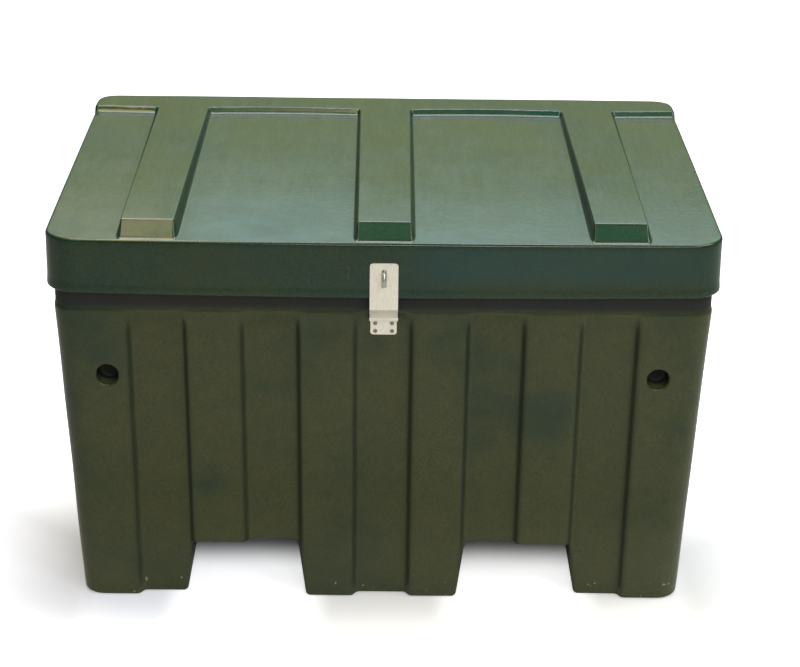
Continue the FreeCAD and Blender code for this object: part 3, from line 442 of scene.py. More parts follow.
def build_tub(material):
    """The tub: an outer and an inner skin joined by the rim, the sheets under them and both sockets."""
    foot = foot_line()
    flanks = [(place + side * RECESS_HALF, 5 * MM, 3 * MM) for place in SIDE_RECESSES for side in (-1, 1)]
    across_y = spread(-SIDE_CORE, SIDE_CORE, 40 * MM, flanks)
    fading, top = RECESS_TOP - FADE_RUN / 2, RIM_TOP - TUB_WALL / 2
    outer_marks = [(SOCKET_Z, 34 * MM, 6 * MM), (fading, 14 * MM, 4 * MM), (RECESS_TOP, 7 * MM, 2 * MM),
                   (SHOULDER, 5 * MM, 1.4 * MM)]
    inner_marks = [(SOCKET_Z, 38 * MM, 12 * MM), (fading, 28 * MM, 10 * MM)]
    outer_levels = spread(150 * MM, top, 45 * MM, outer_marks)
    inner_levels = spread(180 * MM, top, 90 * MM, inner_marks)
    outer, sole, (i, j), out = tub_skin(0, FOOT_LIP, outer_levels, across_y, foot)
    inner, floor, _, _ = tub_skin(TUB_WALL, INNER_LIP, inner_levels, across_y, foot)

    top_out, top_in = outer[-1], inner[-1]
    rim = [(top_out + top_in) / 2 + np.cos(turn) * (top_out - top_in) / 2
           + np.array([0, 0, TUB_WALL / 2 * np.sin(turn)]) for turn in np.linspace(0, math.pi, 7)[1:-1]]
    rows = np.concatenate([outer, np.stack(rim), inner[::-1]])
    count = len(i)
    ring = np.arange(len(rows) * count).reshape(len(rows), count)
    points = [rows.reshape(-1, 3)]
    faces = []
    total = ring.size
    for plan, border_row in ((sole, ring[0]), (floor, ring[-1])):
        index = total + np.arange(plan[..., 0].size).reshape(plan.shape[:2])
        total += index.size
        points.append(plan.reshape(-1, 3))
        index[i, j] = border_row
        faces.append(quads(index))
    wall = quads(ring, closed=True)
    keep = np.ones(len(wall), bool)
    skins = (0, outer, SOCKET_LIP, 0), (len(rows) - len(inner), inner[::-1], 0.5 * MM, TUB_WALL)
    for side in (-1, 1):
        for start, skin, lip, inset in skins:
            reach = SOCKET_RADIUS + inset + lip + 2 * MM
            column = np.flatnonzero((j == 0) & (np.abs(skin[SAMPLE_ROW, :, 0] - side * SOCKET_X) < reach))
            first, last = column[0] - 1, column[-1] + 1
            near = np.flatnonzero(np.abs(skin[:, first, 2] - SOCKET_Z) < reach)
            block = ring[start + near[0] - 1:start + near[-1] + 2, first:last + 1]
            keep &= ~np.isin(wall, block).all(axis=1)
            border = np.concatenate([block[0, :-1], block[:-1, -1], block[-1, :0:-1], block[:0:-1, 0]])
            rings = socket_rings(rows.reshape(-1, 3)[border], inset, lip)
            index = total + np.arange(rings[..., 0].size).reshape(rings.shape[:2])
            total += index.size
            points.append(rings.reshape(-1, 3))
            faces.append(quads(np.concatenate([border[None], index]), closed=True))
    faces.append(wall[keep])
    points = np.concatenate(points)
    outside = np.zeros(len(points))
    outside[:outer[..., 0].size] = 1
    # the painted shade of the flanks and sockets goes with the mesh
    make_mesh("tub_moulding", points, faces, material, "tub", "tub", crease=tub_shading(points, outer, out),
              outside=outside)


# --------------------------------------------------------------------------------------------------
# Lid

def from_rib(x):
    """Distance along X from the middle of the nearest rib, negative to its left."""
    return x - RIB_PLACES[np.abs(x[..., None] - RIB_PLACES).argmin(axis=-1)]


def lid_height(x, y):
    """Height of the lid's top before its edge is rounded, and how much painted shade a rib's side has
    there.

    A rib is a soft bar across X that starts at its nose. The ridge is a soft step in Y whose front edge
    arches back between the ribs. They stand 1 - (1 - rib)(1 - ridge) of the way from the panel to the top.
    """
    back = (y + LID_HALF_Y) / (2 * LID_HALF_Y)
    panel = PANEL_FRONT + PANEL_RISE * (back + CROWN * back * (1 - back))
    aside = from_rib(x)
    off = np.abs(aside)
    bar = ramp(RIB_HALF + RIB_RUN - off, RIB_RUN, *RIB_SOFT)
    nose = ramp(y - NOSE_FOOT, NOSE_TOP - NOSE_FOOT, *NOSE_SOFT)
    into_panel = np.clip((off - RIB_HALF) / (PANEL_MIDDLE - RIB_HALF), 0, 1)
    arch = RIDGE_ARCH * (1 - (1 - into_panel) ** 2) - RIDGE_ARCH
    ridge = ramp(y - RIDGE_FOOT - arch, RIDGE_TOP_EDGE - RIDGE_FOOT, *RIDGE_SOFT)
    stand = 1 - (1 - bar * nose) * (1 - ridge)
    # painted shade on a rib's sides, between its top and the panel, not on the ridge
    shading = 4 * bar * (1 - bar) * nose * (1 - ridge) * np.where(aside > 0, *RIB_SHADE)
    droop = RIB_DROOP * np.clip((-y - DROOP_FROM) / DROOP_RUN, 0, 1.2) ** 2
    return panel + stand * (RIB_TOP - droop - panel), shading


def sag(points):
    """The front bows: its corners stand back, and the skirt's lower edge hangs a little in the middle.

    The two back corners are squarer. With u and v from 0 to 1 through a corner's square, circles about its
    start turn into curves of constant u ^ n + v ^ n, by a factor of
    (u ^ 2 + v ^ 2) ^ (1 / 2) / (u ^ n + v ^ n) ^ (1 / n).
    """
    x, y, z = points[..., 0], points[..., 1], points[..., 2]
    u = np.clip((np.abs(x) - LID_HALF_X + LID_CORNER) / LID_CORNER, 0, 1)
    v = np.clip((y - LID_HALF_Y + LID_CORNER) / LID_CORNER, 0, 1)
    power = BACK_CORNER
    factor = np.hypot(u, v) / np.maximum(u ** power + v ** power, 1e-12) ** (1 / power)
    grow = np.where((u > 1e-3) & (v > 1e-3), factor - 1, 0) * LID_CORNER
    x, y = x + np.sign(x) * u * grow, y + v * grow
    front = np.clip(-y / LID_HALF_Y, 0, 1) ** 2
    out = (x / LID_HALF_X) ** 2
    low = np.clip((PANEL_FRONT - z) / (PANEL_FRONT - LID_FOOT), 0, 1)
    return np.stack([x, y + LID_BOW * out * front, z - LID_DROOP * (1 - out) * front * low], axis=-1)


def lid_sheet(lines_x, lines_y, inset):
    """The lid's top as a grid, and its painted shade: a rounded sheet in plan, whose lines flare with the
    ribs.
    """
    lean = SKIRT_LEAN * (PANEL_FRONT - LID_FOOT)
    core_x, core_y = LID_HALF_X - LID_CORNER, LID_HALF_Y - LID_CORNER
    x, y = sheet(lines_x, lines_y, core_x, core_y, LID_CORNER - lean - BEAD_STEP - inset)
    height, shading = lid_height(x, y)
    off = from_rib(x)
    flare = RIB_FLARE * np.sign(off) * np.clip(1 - np.abs(np.abs(off) - RIB_HALF) / FLARE_REACH, 0, 1)
    edge = np.clip((LID_HALF_X - 12 * MM - np.abs(x)) / (30 * MM), 0, 1)
    plan_x = x + flare * edge * y / LID_HALF_Y
    return np.stack([plan_x, y, height + warp(x, y, 0 * x) * TOP_WARP], axis=-1), shading


def build_lid(material):
    """The lid: its top, the rounded edge, the skirt with its hem, and the ceiling under the top."""
    flanks = [(place + side * (RIB_HALF + RIB_RUN / 2), 6 * MM, 1.2 * MM)
              for place in RIB_PLACES for side in (-1, 1)]
    straight_x, straight_y = 530 * MM, LID_HALF_Y - LID_CORNER - 1 * MM
    across_x = spread(-straight_x, straight_x, 26 * MM, flanks)
    across_y = spread(-straight_y, straight_y, 26 * MM, [(RIDGE_FOOT + 8 * MM, 14 * MM, 2 * MM)])
    lines_x = ruled(across_x, 1, LID_FAN_X)
    lines_y = ruled(across_y, 1, LID_FAN_Y)
    top, shading = lid_sheet(lines_x, lines_y, EDGE_RADIUS)
    i, j = rim_of(len(lines_x[0]), len(lines_y[0]))
    bend_x, bend_y = bent(lines_x, lines_y)
    out = np.stack([bend_x[i, j], bend_y[i, j]], axis=1)
    out /= np.linalg.norm(out, axis=1, keepdims=True)
    edge = top[i, j]

    rows = []
    for turn in np.linspace(math.pi / 2, 0, 7)[1:]:
        step = EDGE_RADIUS * np.array([math.cos(turn), math.sin(turn) - 1])
        rows.append(edge + np.concatenate([out * step[0], np.full((len(i), 1), step[1])], axis=1))
    upper = rows[-1]
    bead_top, lowest = LID_FOOT + BEAD_HEIGHT, LID_FOOT + LID_WALL / 2
    heights = np.concatenate([np.linspace(upper[:, 2], bead_top + 11 * MM, 7)[1:],
                              np.linspace(bead_top + 9.5 * MM, lowest, 14)[:, None] + np.zeros(len(i))])
    for z in heights:
        lean = SKIRT_LEAN * (upper[:, 2] - z)
        step = BEAD_STEP * ramp(bead_top + BEAD_RUN / 2 - z, BEAD_RUN, BEAD_SOFT)
        ripple = warp(upper[:, 0], upper[:, 1], z) * SKIRT_WARP
        push = (lean + step - ripple * np.clip((upper[:, 2] - z) / 0.02, 0, 1))[:, None]
        rows.append(np.concatenate([upper[:, :2] + out * push, z[:, None]], axis=1))
    hem = rows[-1]
    for turn in np.linspace(0, math.pi, 8)[1:]:
        move = np.concatenate([-out * (LID_WALL / 2) * (1 - math.cos(turn)),
                               np.full((len(i), 1), -LID_WALL / 2 * math.sin(turn))], axis=1)
        rows.append(hem + move)
    inner_hem = rows[-1]
    normal = np.cross(np.gradient(top, axis=0), np.gradient(top, axis=1))
    normal /= np.linalg.norm(normal, axis=2, keepdims=True)
    ceiling = top - CEILING_WALL * normal
    inner_edge = ceiling[i, j]
    for part in (0.25, 0.6, 0.9):
        rows.append(inner_hem * (1 - part) + inner_edge * part)

    rows = sag(np.stack(rows))
    top, ceiling = sag(top), sag(ceiling)
    count = len(i)
    ring = top[..., 0].size + np.arange(len(rows) * count).reshape(len(rows), count)
    top_index = np.arange(top[..., 0].size).reshape(top.shape[:2])
    ceiling_index = ring[-1, -1] + 1 + top_index
    skirt = np.concatenate([top_index[i, j][None], ring, ceiling_index[i, j][None]])
    points = np.concatenate([top.reshape(-1, 3), rows.reshape(-1, 3), ceiling.reshape(-1, 3)])
    faces = [quads(top_index), quads(skirt, closed=True), quads(ceiling_index)]
    # the ribs' painted shade, and none on the skirt and the ceiling
    crease = np.concatenate([shading.ravel(), np.zeros(len(points) - shading.size)])
    make_mesh("lid_moulding", points, faces, material, "lid", "lid", crease=crease)


# --------------------------------------------------------------------------------------------------
# Materials

def node_group(name, inputs, outputs):
    """A shader node group with inputs (name, kind, value) and outputs (name, kind), and its end nodes."""
    group = bpy.data.node_groups.new(name, "ShaderNodeTree")
    for label, kind, value in inputs:
        socket = group.interface.new_socket(label, in_out="INPUT", socket_type=kind)
        socket.default_value = value
    for label, kind in outputs:
        group.interface.new_socket(label, in_out="OUTPUT", socket_type=kind)
    return group, group.nodes.new("NodeGroupInput"), group.nodes.new("NodeGroupOutput")


def add(tree, kind, **settings):
    """A node with its settings; in_0, in_1 and so on set the value of that input."""
    node = tree.nodes.new(kind)
    for key, value in settings.items():
        if key.startswith("in_"):
            node.inputs[int(key[3:])].default_value = value
        else:
            setattr(node, key, value)
    return node


def noise(tree, vector, scale, detail=3.0, rough=0.5, distort=0.0):
    """The factor of a noise texture on a vector."""
    node = add(tree, "ShaderNodeTexNoise")
    settings = {"Scale": scale, "Detail": detail, "Roughness": rough, "Distortion": distort}
    for label, value in settings.items():
        node.inputs[label].default_value = value
    tree.links.new(vector, node.inputs["Vector"])
    return node.outputs["Fac"]


def between(tree, value, low, high, to_low=0.0, to_high=1.0):
    """A value taken smoothly from low and high to to_low and to_high, and held there beyond them."""
    node = add(tree, "ShaderNodeMapRange", interpolation_type="SMOOTHSTEP")
    for slot, number in ((1, low), (2, high), (3, to_low), (4, to_high)):
        node.inputs[slot].default_value = number
    tree.links.new(value, node.inputs[0])
    return node.outputs[0]


def maths(tree, operation, a, b):
    """One arithmetic step between sockets or numbers."""
    node = add(tree, "ShaderNodeMath", operation=operation)
    for slot, item in enumerate((a, b)):
        if isinstance(item, (int, float)):
            node.inputs[slot].default_value = item
        else:
            tree.links.new(item, node.inputs[slot])
    return node.outputs[0]


def times(tree, a, b):
    """The product of two sockets or numbers."""
    return maths(tree, "MULTIPLY", a, b)


def plus(tree, a, b):
    """The sum of two sockets or numbers."""
    return maths(tree, "ADD", a, b)


def parts_of(tree, vector):
    """The X, Y and Z of a vector."""
    split = add(tree, "ShaderNodeSeparateXYZ")
    tree.links.new(vector, split.inputs[0])
    return split.outputs


def new_material(name):
    """A material, its node tree and its shader."""
    material = bpy.data.materials.new(name)
    material.use_nodes = True
    return material, material.node_tree, material.node_tree.nodes["Principled BSDF"]


def set_relief(tree, shader, height, depth):
    """Bump from a height, so many metres deep."""
    bump = add(tree, "ShaderNodeBump")
    bump.inputs["Distance"].default_value = depth
    tree.links.new(height, bump.inputs["Height"])
    tree.links.new(bump.outputs[0], shader.inputs["Normal"])


def blended(tree, factor, first, second):
    """A mix of two colours, each a socket or an RGBA tuple."""
    node = add(tree, "ShaderNodeMix", data_type="RGBA")
    for slot, item in ((0, factor), (6, first), (7, second)):
        if isinstance(item, (tuple, float)):
            node.inputs[slot].default_value = item
        else:
            tree.links.new(item, node.inputs[slot])
    return node.outputs[2]


def stretched(tree, vector, scale):
    """A vector scaled unevenly."""
    node = add(tree, "ShaderNodeMapping")
    node.inputs["Scale"].default_value = scale
    tree.links.new(vector, node.inputs["Vector"])
    return node.outputs[0]


# painted shade: neutral where it lies thick, green where it lies thin
SHADE_COLOUR = (0.0125, 0.0130, 0.0128, 1)
GREEN_SHADE_COLOUR = (0.0085, 0.0210, 0.0140, 1)      # where it lies thin
# The pale third colour is for scuffs, dust and chips, and for painted light low in the sockets and near the
# ground; the fourth is painted shade and darker patches on the tub, and a painted teal sheen on the lid.
TUB_PIGMENT = {"Deep": (0.0245, 0.039, 0.0178, 1), "Pale": (0.049, 0.0545, 0.0190, 1),
               "Scuff and light": (0.26, 0.27, 0.18, 1), "Painted light and patches colour": (0.0150, 0.0330, 0.0200, 1),
               "Wear": 0.5, "Grain": 0.36, "Rubbed": 0.04}
LID_PIGMENT = {"Deep": (0.0045, 0.0255, 0.0140, 1), "Pale": (0.0150, 0.0310, 0.0082, 1),
               "Scuff and light": (0.26, 0.32, 0.24, 1), "Painted light and patches colour": (0.004, 0.046, 0.044, 1),
               "Wear": 0.45, "Grain": 0.45, "Rubbed": 0.25}
# spots of painted shade by the top of the left edge and of painted shadow under the hasp, and darker
# patches elsewhere
SHADE_AND_PATCH_SPOTS = ((-0.497, 0.50, 0.075), (-0.57, 0.57, 0.11), (-0.022, 0.535, 0.045), (0.30, 0.40, 0.07),
              (-0.33, 0.25, 0.06))              # X and Z on the front, and reach
BOUNCE_TOP = 0.25                               # painted light thrown up from the floor ends at this height; chips keep near its foot


def moulded_skin():
    """Colour, roughness and relief of rotationally moulded polyethylene.

    Deep and Pale are the clouded pigment's two colours. Painted shade above 0 darkens, and below 0 it is
    painted light that lightens. Other inputs paint shade and sheen in patches, light thrown up from the
    floor and the lid's shadow on the neck.
    """
    colours = "Deep", "Pale", "Scuff and light", "Painted light and patches colour"
    amounts = "Wear", "Painted shade", "Grain", "Rubbed", "Floor bounce and chips", "Painted light and patches", "Neck"
    inputs = [("Vector", "NodeSocketVector", (0, 0, 0))]
    inputs += [(label, "NodeSocketColor", (0, 0, 0, 1)) for label in colours]
    inputs += [(label, "NodeSocketFloat", 0.0) for label in amounts]
    group, given, result = node_group(
        "moulded_skin", inputs,
        [("Colour", "NodeSocketColor"), ("Roughness", "NodeSocketFloat"), ("Relief", "NodeSocketFloat")])
    link = group.links.new
    vector, deep, pale, scuff_and_light, light_and_patches_colour = given.outputs[:5]
    wear, shade_paint, grain, rubbing, bounce, light_and_patches, neck = given.outputs[5:12]

    # clouded and speckled pigment, brushed along X
    cloud = between(group, noise(group, vector, 4.2, 3, 0.5), 0.32, 0.56)
    mottle = between(group, noise(group, vector, 30, 3, 0.6), 0.35, 0.7)
    pigment = plus(group, times(group, cloud, 0.7), times(group, mottle, 0.3))
    colour = blended(group, pigment, deep, pale)
    speckle = between(group, noise(group, vector, 260, 2, 0.7), 0.28, 0.72, -0.5, 0.5)
    brushed = noise(group, stretched(group, vector, (230, 22, 22)), 1, 2, 0.6)
    rubbed = between(group, brushed, 0.3, 0.7, -0.5, 0.5)
    speckle = times(group, speckle, grain)
    facing = parts_of(group, add(group, "ShaderNodeNewGeometry").outputs["Normal"])
    upward = between(group, facing["Z"], 0.6, 0.98)
    rubbed = times(group, rubbed, maths(group, "MAXIMUM", upward, 0.15))
    tone = plus(group, speckle, times(group, rubbed, rubbing))
    shaded = add(group, "ShaderNodeVectorMath", operation="SCALE")
    link(colour, shaded.inputs[0])
    link(plus(group, tone, 1), shaded.inputs["Scale"])
    colour = shaded.outputs[0]

    # scratches in patches
    streak_x = noise(group, stretched(group, vector, (5, 160, 160)), 1, 3, 0.6)
    streak_z = noise(group, stretched(group, vector, (170, 150, 6)), 1, 3, 0.6)
    patch = between(group, noise(group, vector, 6, 3, 0.6), 0.5, 0.72)
    streak = maths(group, "MAXIMUM", between(group, streak_x, 0.62, 0.74),
                   between(group, streak_z, 0.63, 0.76))
    worn = times(group, times(group, streak, patch), wear)
    colour = blended(group, times(group, worn, 0.12), colour, scuff_and_light)

    # a wiped film of dust on faces that look up
    wipes = noise(group, stretched(group, vector, (42, 5, 5)), 1, 5, 0.68, 0.3)
    film = between(group, wipes, 0.45, 0.78)
    hair = between(group, noise(group, stretched(group, vector, (330, 16, 16)), 1, 2, 0.6), 0.35, 0.7)
    grit = between(group, noise(group, vector, 330, 2, 0.6), 0.4, 0.66)
    film = plus(group, times(group, film, 0.7), times(group, hair, 0.55))
    film = plus(group, film, times(group, grit, 0.6))
    dust = times(group, times(group, upward, film), wear)
    colour = blended(group, times(group, dust, 0.15), colour, scuff_and_light)

    # patches of painted shade and sheen, chips, painted light thrown up from the floor near the feet,
    # painted shade in the creases and sockets, painted light low in the sockets, and the lid's painted
    # shadow on the neck
    colour = blended(group, light_and_patches, colour, light_and_patches_colour)
    chip = between(group, noise(group, vector, 75, 1, 0.5), 0.725, 0.76)
    chip = times(group, chip, between(group, bounce, 0.85, 0.97))
    colour = blended(group, times(group, bounce, 0.10), colour, scuff_and_light)
    colour = blended(group, chip, colour, scuff_and_light)
    colour = blended(group, times(group, shade_paint, -0.16), colour, scuff_and_light)
    shade_tone = blended(group, between(group, shade_paint, 0.4, 0.7), GREEN_SHADE_COLOUR, SHADE_COLOUR)
    colour = blended(group, times(group, shade_paint, 0.9), colour, shade_tone)
    colour = blended(group, times(group, neck, 0.9), colour, SHADE_COLOUR)
    link(colour, result.inputs["Colour"])

    rough = between(group, noise(group, vector, 14, 4, 0.6), 0.3, 0.75, 0.13, 0.24)
    rough = plus(group, rough, times(group, plus(group, worn, dust), 0.08))
    dull = maths(group, "MAXIMUM", maths(group, "ABSOLUTE", shade_paint, 0), neck)
    rough = plus(group, rough, times(group, dull, 0.45))
    link(rough, result.inputs["Roughness"])

    fine = noise(group, vector, 620, 2, 0.5)
    peel = noise(group, vector, 90, 2, 0.5)
    relief = plus(group, times(group, fine, 0.16), times(group, peel, 0.55))
    swell = noise(group, vector, 17, 2, 0.5)
    relief = plus(group, relief, times(group, swell, 0.9))
    relief = maths(group, "SUBTRACT", relief, times(group, worn, 0.12))
    link(relief, result.inputs["Relief"])
    return group


def shade_and_patches_of_tub(tree, place):
    """Where the tub is darker: spots on its front, some of them painted shade, and painted shade at its
    front left corner, both uneven.
    """
    across, along, _ = parts_of(tree, place)
    corner = between(tree, across, -580 * MM, -545 * MM, 1, 0)
    light_and_patches = times(tree, corner, between(tree, along, -0.30, -0.22, 1, 0))
    for x, z, reach in SHADE_AND_PATCH_SPOTS:
        away = add(tree, "ShaderNodeVectorMath", operation="DISTANCE", in_1=(x, -0.365, z))
        tree.links.new(place, away.inputs[0])
        spot = between(tree, away.outputs["Value"], 0.2 * reach, reach, 1, 0)
        light_and_patches = maths(tree, "MAXIMUM", light_and_patches, spot)
    uneven = between(tree, noise(tree, place, 22, 3, 0.6), 0.35, 0.65)
    return times(tree, light_and_patches, plus(tree, times(tree, uneven, 0.35), 0.3))


def sheen_of_lid(tree, place):
    """Where the lid has a painted teal sheen: on its front skirt, to the right of the hasp."""
    across, _, height = parts_of(tree, place)
    cool = times(tree, between(tree, across, 0.0, 0.12), between(tree, across, 0.25, 0.75, 0.45, 0.2))
    cool = times(tree, cool, between(tree, height, 0.722, 0.738, 1, 0))
    return times(tree, cool, between(tree, height, 0.650, 0.685))


def plastic(name, skin, pigment, relief, shine, light_and_patches, neck_shade_paint=0.0, bounce=0.0):
    """A glossy moulded plastic that uses the shared skin; pigment sets the skin's inputs by name."""
    material, tree, shader = new_material(name)
    place = add(tree, "ShaderNodeTexCoord").outputs["Object"]
    effect = add(tree, "ShaderNodeGroup", node_tree=skin)
    tree.links.new(place, effect.inputs["Vector"])
    for label, value in pigment.items():
        effect.inputs[label].default_value = value
    height = parts_of(tree, place)["Z"]
    crease = add(tree, "ShaderNodeAttribute", attribute_name="crease")
    outside = add(tree, "ShaderNodeAttribute", attribute_name="outside")
    # painted shadow of the lid on the tub's neck, above the shoulder, on the outer skin only
    neck = times(tree, between(tree, height, SHOULDER - 3 * MM, SHOULDER + 10 * MM, 0, neck_shade_paint),
                 between(tree, height, LID_FOOT + 5 * MM, LID_FOOT + 25 * MM, 1, 0.15))
    tree.links.new(times(tree, neck, outside.outputs["Fac"]), effect.inputs["Neck"])
    # painted shade on the tub's flanks and sockets and on the lid's ribs, from the mesh's mark
    tree.links.new(crease.outputs["Fac"], effect.inputs["Painted shade"])
    # lighter towards the ground: painted light thrown up from the floor
    tree.links.new(between(tree, height, 0, BOUNCE_TOP, bounce, 0), effect.inputs["Floor bounce and chips"])
    tree.links.new(light_and_patches(tree, place), effect.inputs["Painted light and patches"])
    tree.links.new(effect.outputs["Colour"], shader.inputs["Base Color"])
    tree.links.new(effect.outputs["Roughness"], shader.inputs["Roughness"])
    set_relief(tree, shader, effect.outputs["Relief"], relief)
    shader.inputs["IOR"].default_value = 1.5
    shader.inputs["Specular IOR Level"].default_value = shine
    return material


def brushed_metal(name, colour, along, roughness, streaks, bright=1):
    """Brushed metal: fine streaks along one axis in colour, roughness and relief, and dull fingermarks.

    bright is its share of clean metal; the rest is dull.
    """
    material, tree, shader = new_material(name)
    place = add(tree, "ShaderNodeTexCoord").outputs["Object"]
    scale = tuple(25 if axis == along else 1900 for axis in "xyz")
    brush = noise(tree, stretched(tree, place, scale), 1, 4, 0.65)
    stain = between(tree, noise(tree, place, 60, 4, 0.6), 0.4, 0.7)
    darker = tuple(part * 0.78 for part in colour[:3]) + (1,)
    shade = blended(tree, between(tree, brush, 0.35, 0.65), darker, colour)
    tree.links.new(shade, shader.inputs["Base Color"])
    rough = plus(tree, times(tree, brush, streaks), times(tree, stain, 0.1))
    tree.links.new(plus(tree, rough, roughness), shader.inputs["Roughness"])
    set_relief(tree, shader, brush, 0.02 * MM)
    shader.inputs["Metallic"].default_value = bright
    return material


skin = moulded_skin()
tub_plastic = plastic("tub_plastic", skin, TUB_PIGMENT, 0.35 * MM, 0.3, shade_and_patches_of_tub, 0.95, 1)
lid_plastic = plastic("lid_plastic", skin, LID_PIGMENT, 0.30 * MM, 0.5, sheen_of_lid)
sheet_metal = brushed_metal("stainless_sheet", (0.95, 0.90, 0.77, 1), "z", 0.26, 0.16, bright=0.40)
wire_metal = brushed_metal("stainless_wire", (0.72, 0.69, 0.63, 1), "x", 0.22, 0.1)
bolt_metal = brushed_metal("plated_fasteners", (0.60, 0.59, 0.55, 1), "x", 0.30, 0.1)
dull_metal = brushed_metal("dull_screws", (0.34, 0.31, 0.25, 1), "x", 0.38, 0.1)

build_tub(tub_plastic)
build_lid(lid_plastic)

WIRE = ("staple", "hasp_pin", "hinge_left_pin", "hinge_right_pin")
for name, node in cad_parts.items():
    if name in WIRE:
        finish = wire_metal
    elif name in ("tub", "lid"):
        finish = {"tub": tub_plastic, "lid": lid_plastic}[name]
    elif name == "hasp_screws":
        finish = dull_metal
    elif name.rsplit("_", 1)[-1] in ("bolts", "nuts", "washers", "screws"):
        finish = bolt_metal
    else:
        finish = sheet_metal
    node.data.materials.clear()
    node.data.materials.append(finish)


# --------------------------------------------------------------------------------------------------
# Floor, light and camera

def pale_ground():
    """A pale matt floor that throws light up like white paper; the camera sees soft shadows over white."""
    material, tree, shader = new_material("pale_floor")
    tree.nodes.remove(shader)
    path = add(tree, "ShaderNodeLightPath")
    seen = path.outputs["Is Camera Ray"]
    place = add(tree, "ShaderNodeTexCoord").outputs["Object"]
    across, y, _ = parts_of(tree, place)
    diffuse = add(tree, "ShaderNodeBsdfDiffuse")
    # reflections see the floor darker than the light it throws up, and the camera sees its shadows bluer on
    # the left, against the warm lamp's light there
    pale = blended(tree, path.outputs["Is Glossy Ray"], (0.88, 0.88, 0.88, 1), (0.58, 0.58, 0.56, 1))
    cooler = blended(tree, between(tree, across, -0.5, 0.1), (0.80, 0.84, 0.97, 1), (0.88, 0.88, 0.87, 1))
    pale = blended(tree, seen, pale, cooler)
    tree.links.new(pale, diffuse.inputs["Color"])

    # white that thins the shadow the camera sees: in the tunnels, in front, beside the feet and far away
    glow = add(tree, "ShaderNodeEmission")
    away = add(tree, "ShaderNodeVectorMath", operation="LENGTH")
    tree.links.new(place, away.inputs[0])
    x = maths(tree, "ABSOLUTE", across, 0)
    off_tunnel = maths(tree, "ABSOLUTE", maths(tree, "SUBTRACT", x, TUNNEL_X), 0)
    tunnel = between(tree, off_tunnel, 0.10, 0.17, 0.46, 0)
    tunnel = times(tree, tunnel, between(tree, y, -0.52, -0.36))
    feet = times(tree, between(tree, x, 0.53, 0.61, 1, 0), 0.27)
    near = times(tree, between(tree, y, -0.25, -0.12, 1, 0), plus(tree, tunnel, feet))
    near = plus(tree, near, between(tree, y, -0.52, -0.34, 0.34, 0))
    near = plus(tree, near, between(tree, x, 0.55, 0.85, 0.03, 0.45))
    near = plus(tree, near, between(tree, across, -0.60, -0.57, 0.07, 0))
    near = maths(tree, "SUBTRACT", near, between(tree, x, 0.08, 0.2, 0.08, 0))
    beside = times(tree, between(tree, x, 0.50, 0.62), between(tree, y, -0.24, 0.26))
    level = maths(tree, "MAXIMUM", near, beside)
    level = maths(tree, "MAXIMUM", level, between(tree, away.outputs["Value"], 0.75, 1.6))
    tree.links.new(times(tree, seen, level), glow.inputs["Strength"])
    both = add(tree, "ShaderNodeAddShader")
    tree.links.new(diffuse.outputs[0], both.inputs[0])
    tree.links.new(glow.outputs[0], both.inputs[1])
    tree.links.new(both.outputs[0], tree.nodes["Material Output"].inputs["Surface"])
    return material


def make_floor(reach):
    """A square of ground that goes so many metres each way."""
    mesh = bpy.data.meshes.new("floor")
    corners = [(x * reach, y * reach, 0) for x, y in ((-1, -1), (1, -1), (1, 1), (-1, 1))]
    mesh.from_pydata(corners, [], [(0, 1, 2, 3)])
    mesh.materials.append(pale_ground())
    new_object("floor", mesh)


# Height of a direction, and the colour that reflections see there behind the bin
SKY = ((0.0, (0.07, 0.28, 0.22)), (0.20, (0.20, 0.28, 0.20)), (0.28, (0.66, 0.66, 0.32)),
       (0.315, (0.61, 0.68, 0.37)), (0.36, (0.62, 0.74, 0.42)), (0.44, (0.80, 0.94, 0.80)),
       (0.50, (1.3, 1.25, 1.0)), (0.56, (1.0, 0.8, 0.4)), (0.62, (0.15, 0.17, 0.13)),
       (1.0, (0.06, 0.07, 0.07)))


def make_world(level, front, side):
    """A soft sky that lights at one level, less from the left, and is white to the camera.

    Reflections see the sky's bands behind the bin, at the share side beside it, and a dim room in front.
    """
    world = bpy.data.worlds.new("studio")
    bpy.context.scene.world = world
    world.use_nodes = True
    tree = world.node_tree
    right, back, up = parts_of(tree, add(tree, "ShaderNodeTexCoord").outputs["Generated"])
    sky = add(tree, "ShaderNodeValToRGB")
    bands = sky.color_ramp
    for height, colour in SKY:
        band = bands.elements.new(height)
        band.color = colour + (1,)
    bands.elements.remove(bands.elements[0])
    bands.elements.remove(bands.elements[-1])
    tree.links.new(up, sky.inputs[0])
    behind = between(tree, back, -0.1, 0.3)
    lit = times(tree, behind, between(tree, maths(tree, "ABSOLUTE", right, 0), 0.3, 0.6, 1, side))
    overhead = times(tree, between(tree, up, 0.7, 0.86), between(tree, back, -0.2, -0.3))
    ahead = blended(tree, overhead, (front * 0.6, front * 1.1, front * 1.1, 1), (0.25, 1.0, 0.75, 1))
    room = blended(tree, lit, ahead, sky.outputs[0])
    path = add(tree, "ShaderNodeLightPath")
    shown = maths(tree, "MAXIMUM", path.outputs["Is Camera Ray"], path.outputs["Is Transmission Ray"])
    low = level * 0.45
    soft = blended(tree, between(tree, right, -0.8, 0.5), (low, low, low, 1), (level, level, level, 1))
    plain = blended(tree, shown, soft, (1.0, 1.0, 1.0, 1))
    seen = blended(tree, path.outputs["Is Glossy Ray"], plain, room)
    tree.links.new(seen, tree.nodes["Background"].inputs["Color"])


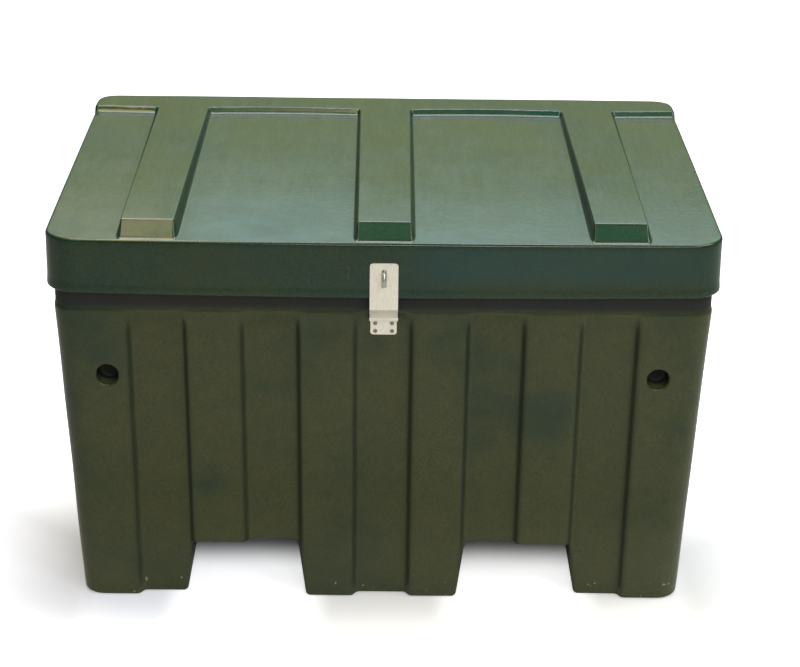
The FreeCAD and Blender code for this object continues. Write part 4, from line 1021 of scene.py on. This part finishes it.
def soft_lamp(name, place, target, width, height, power, colour=(1, 1, 1)):
    """An area lamp at a place, turned to a target."""
    lamp = bpy.data.lights.new(name, "AREA")
    lamp.shape = "RECTANGLE"
    lamp.size, lamp.size_y = width, height
    lamp.energy = power
    lamp.color = colour
    holder = new_object(name, lamp)
    aim = np.array(target, float) - np.array(place, float)
    holder.rotation_euler = Vector(aim).to_track_quat("-Z", "Y").to_euler()
    holder.location = place


def make_camera():
    """A long lens in front of the bin and above it, turned by its yaw, pitch and roll."""
    yaw, pitch, roll = 0.0103, 0.4020, 0.0137
    ahead = np.array([math.sin(yaw) * math.cos(pitch), math.cos(yaw) * math.cos(pitch), -math.sin(pitch)])
    right = np.cross(ahead, [0, 0, 1])
    right /= np.linalg.norm(right)
    above = np.cross(right, ahead)
    turned_right = math.cos(roll) * right + math.sin(roll) * above
    turned_above = -math.sin(roll) * right + math.cos(roll) * above
    place = np.array([-4.4, -3659.7, 1956.3]) * MM
    data = bpy.data.cameras.new("camera")
    data.sensor_width = 36
    data.lens = 90.04
    data.clip_end = 60
    camera = new_object("camera", data)
    turn = Matrix((turned_right, turned_above, -ahead)).transposed().to_4x4()
    camera.matrix_world = Matrix.Translation(place) @ turn
    bpy.context.scene.camera = camera


make_floor(reach=14)
make_world(level=0.45, front=0.14, side=0.12)
soft_lamp("overhead", (0.1, 0.75, 2.7), (0, 0, 0.7), 2.2, 1.0, 44, (0.93, 0.97, 1.0))
soft_lamp("right_top", (2.0, -0.4, 2.7), (0.2, -0.1, 0.6), 1.2, 1.2, 26)
soft_lamp("left_top", (-0.85, 0.1, 3.0), (-0.4, 0.1, 0.6), 1.0, 0.6, 14, (1.0, 0.74, 0.34))
soft_lamp("key", (1.9, -2.6, 3.0), (0, -0.2, 0.3), 1.0, 1.0, 24)
soft_lamp("fill", (0.4, -3.4, 2.2), (0, -0.3, 0.2), 1.6, 0.8, 30)
soft_lamp("cool_card", (0.45, 1.5, 1.80), (0.2, -0.2, 0.75), 2.1, 0.55, 5.0, (0.46, 0.80, 0.97))
soft_lamp("warm_card", (-0.85, 1.5, 1.76), (-0.5, -0.2, 0.75), 0.5, 0.55, 0.65, (0.95, 1.0, 0.80))
soft_lamp("glint", (-0.70, -1.05, 3.1), (-0.415, -0.375, 0.75), 0.5, 1.3, 9.5, (1.0, 0.80, 0.42))
make_camera()
bpy.context.scene.view_settings.view_transform = "Standard"
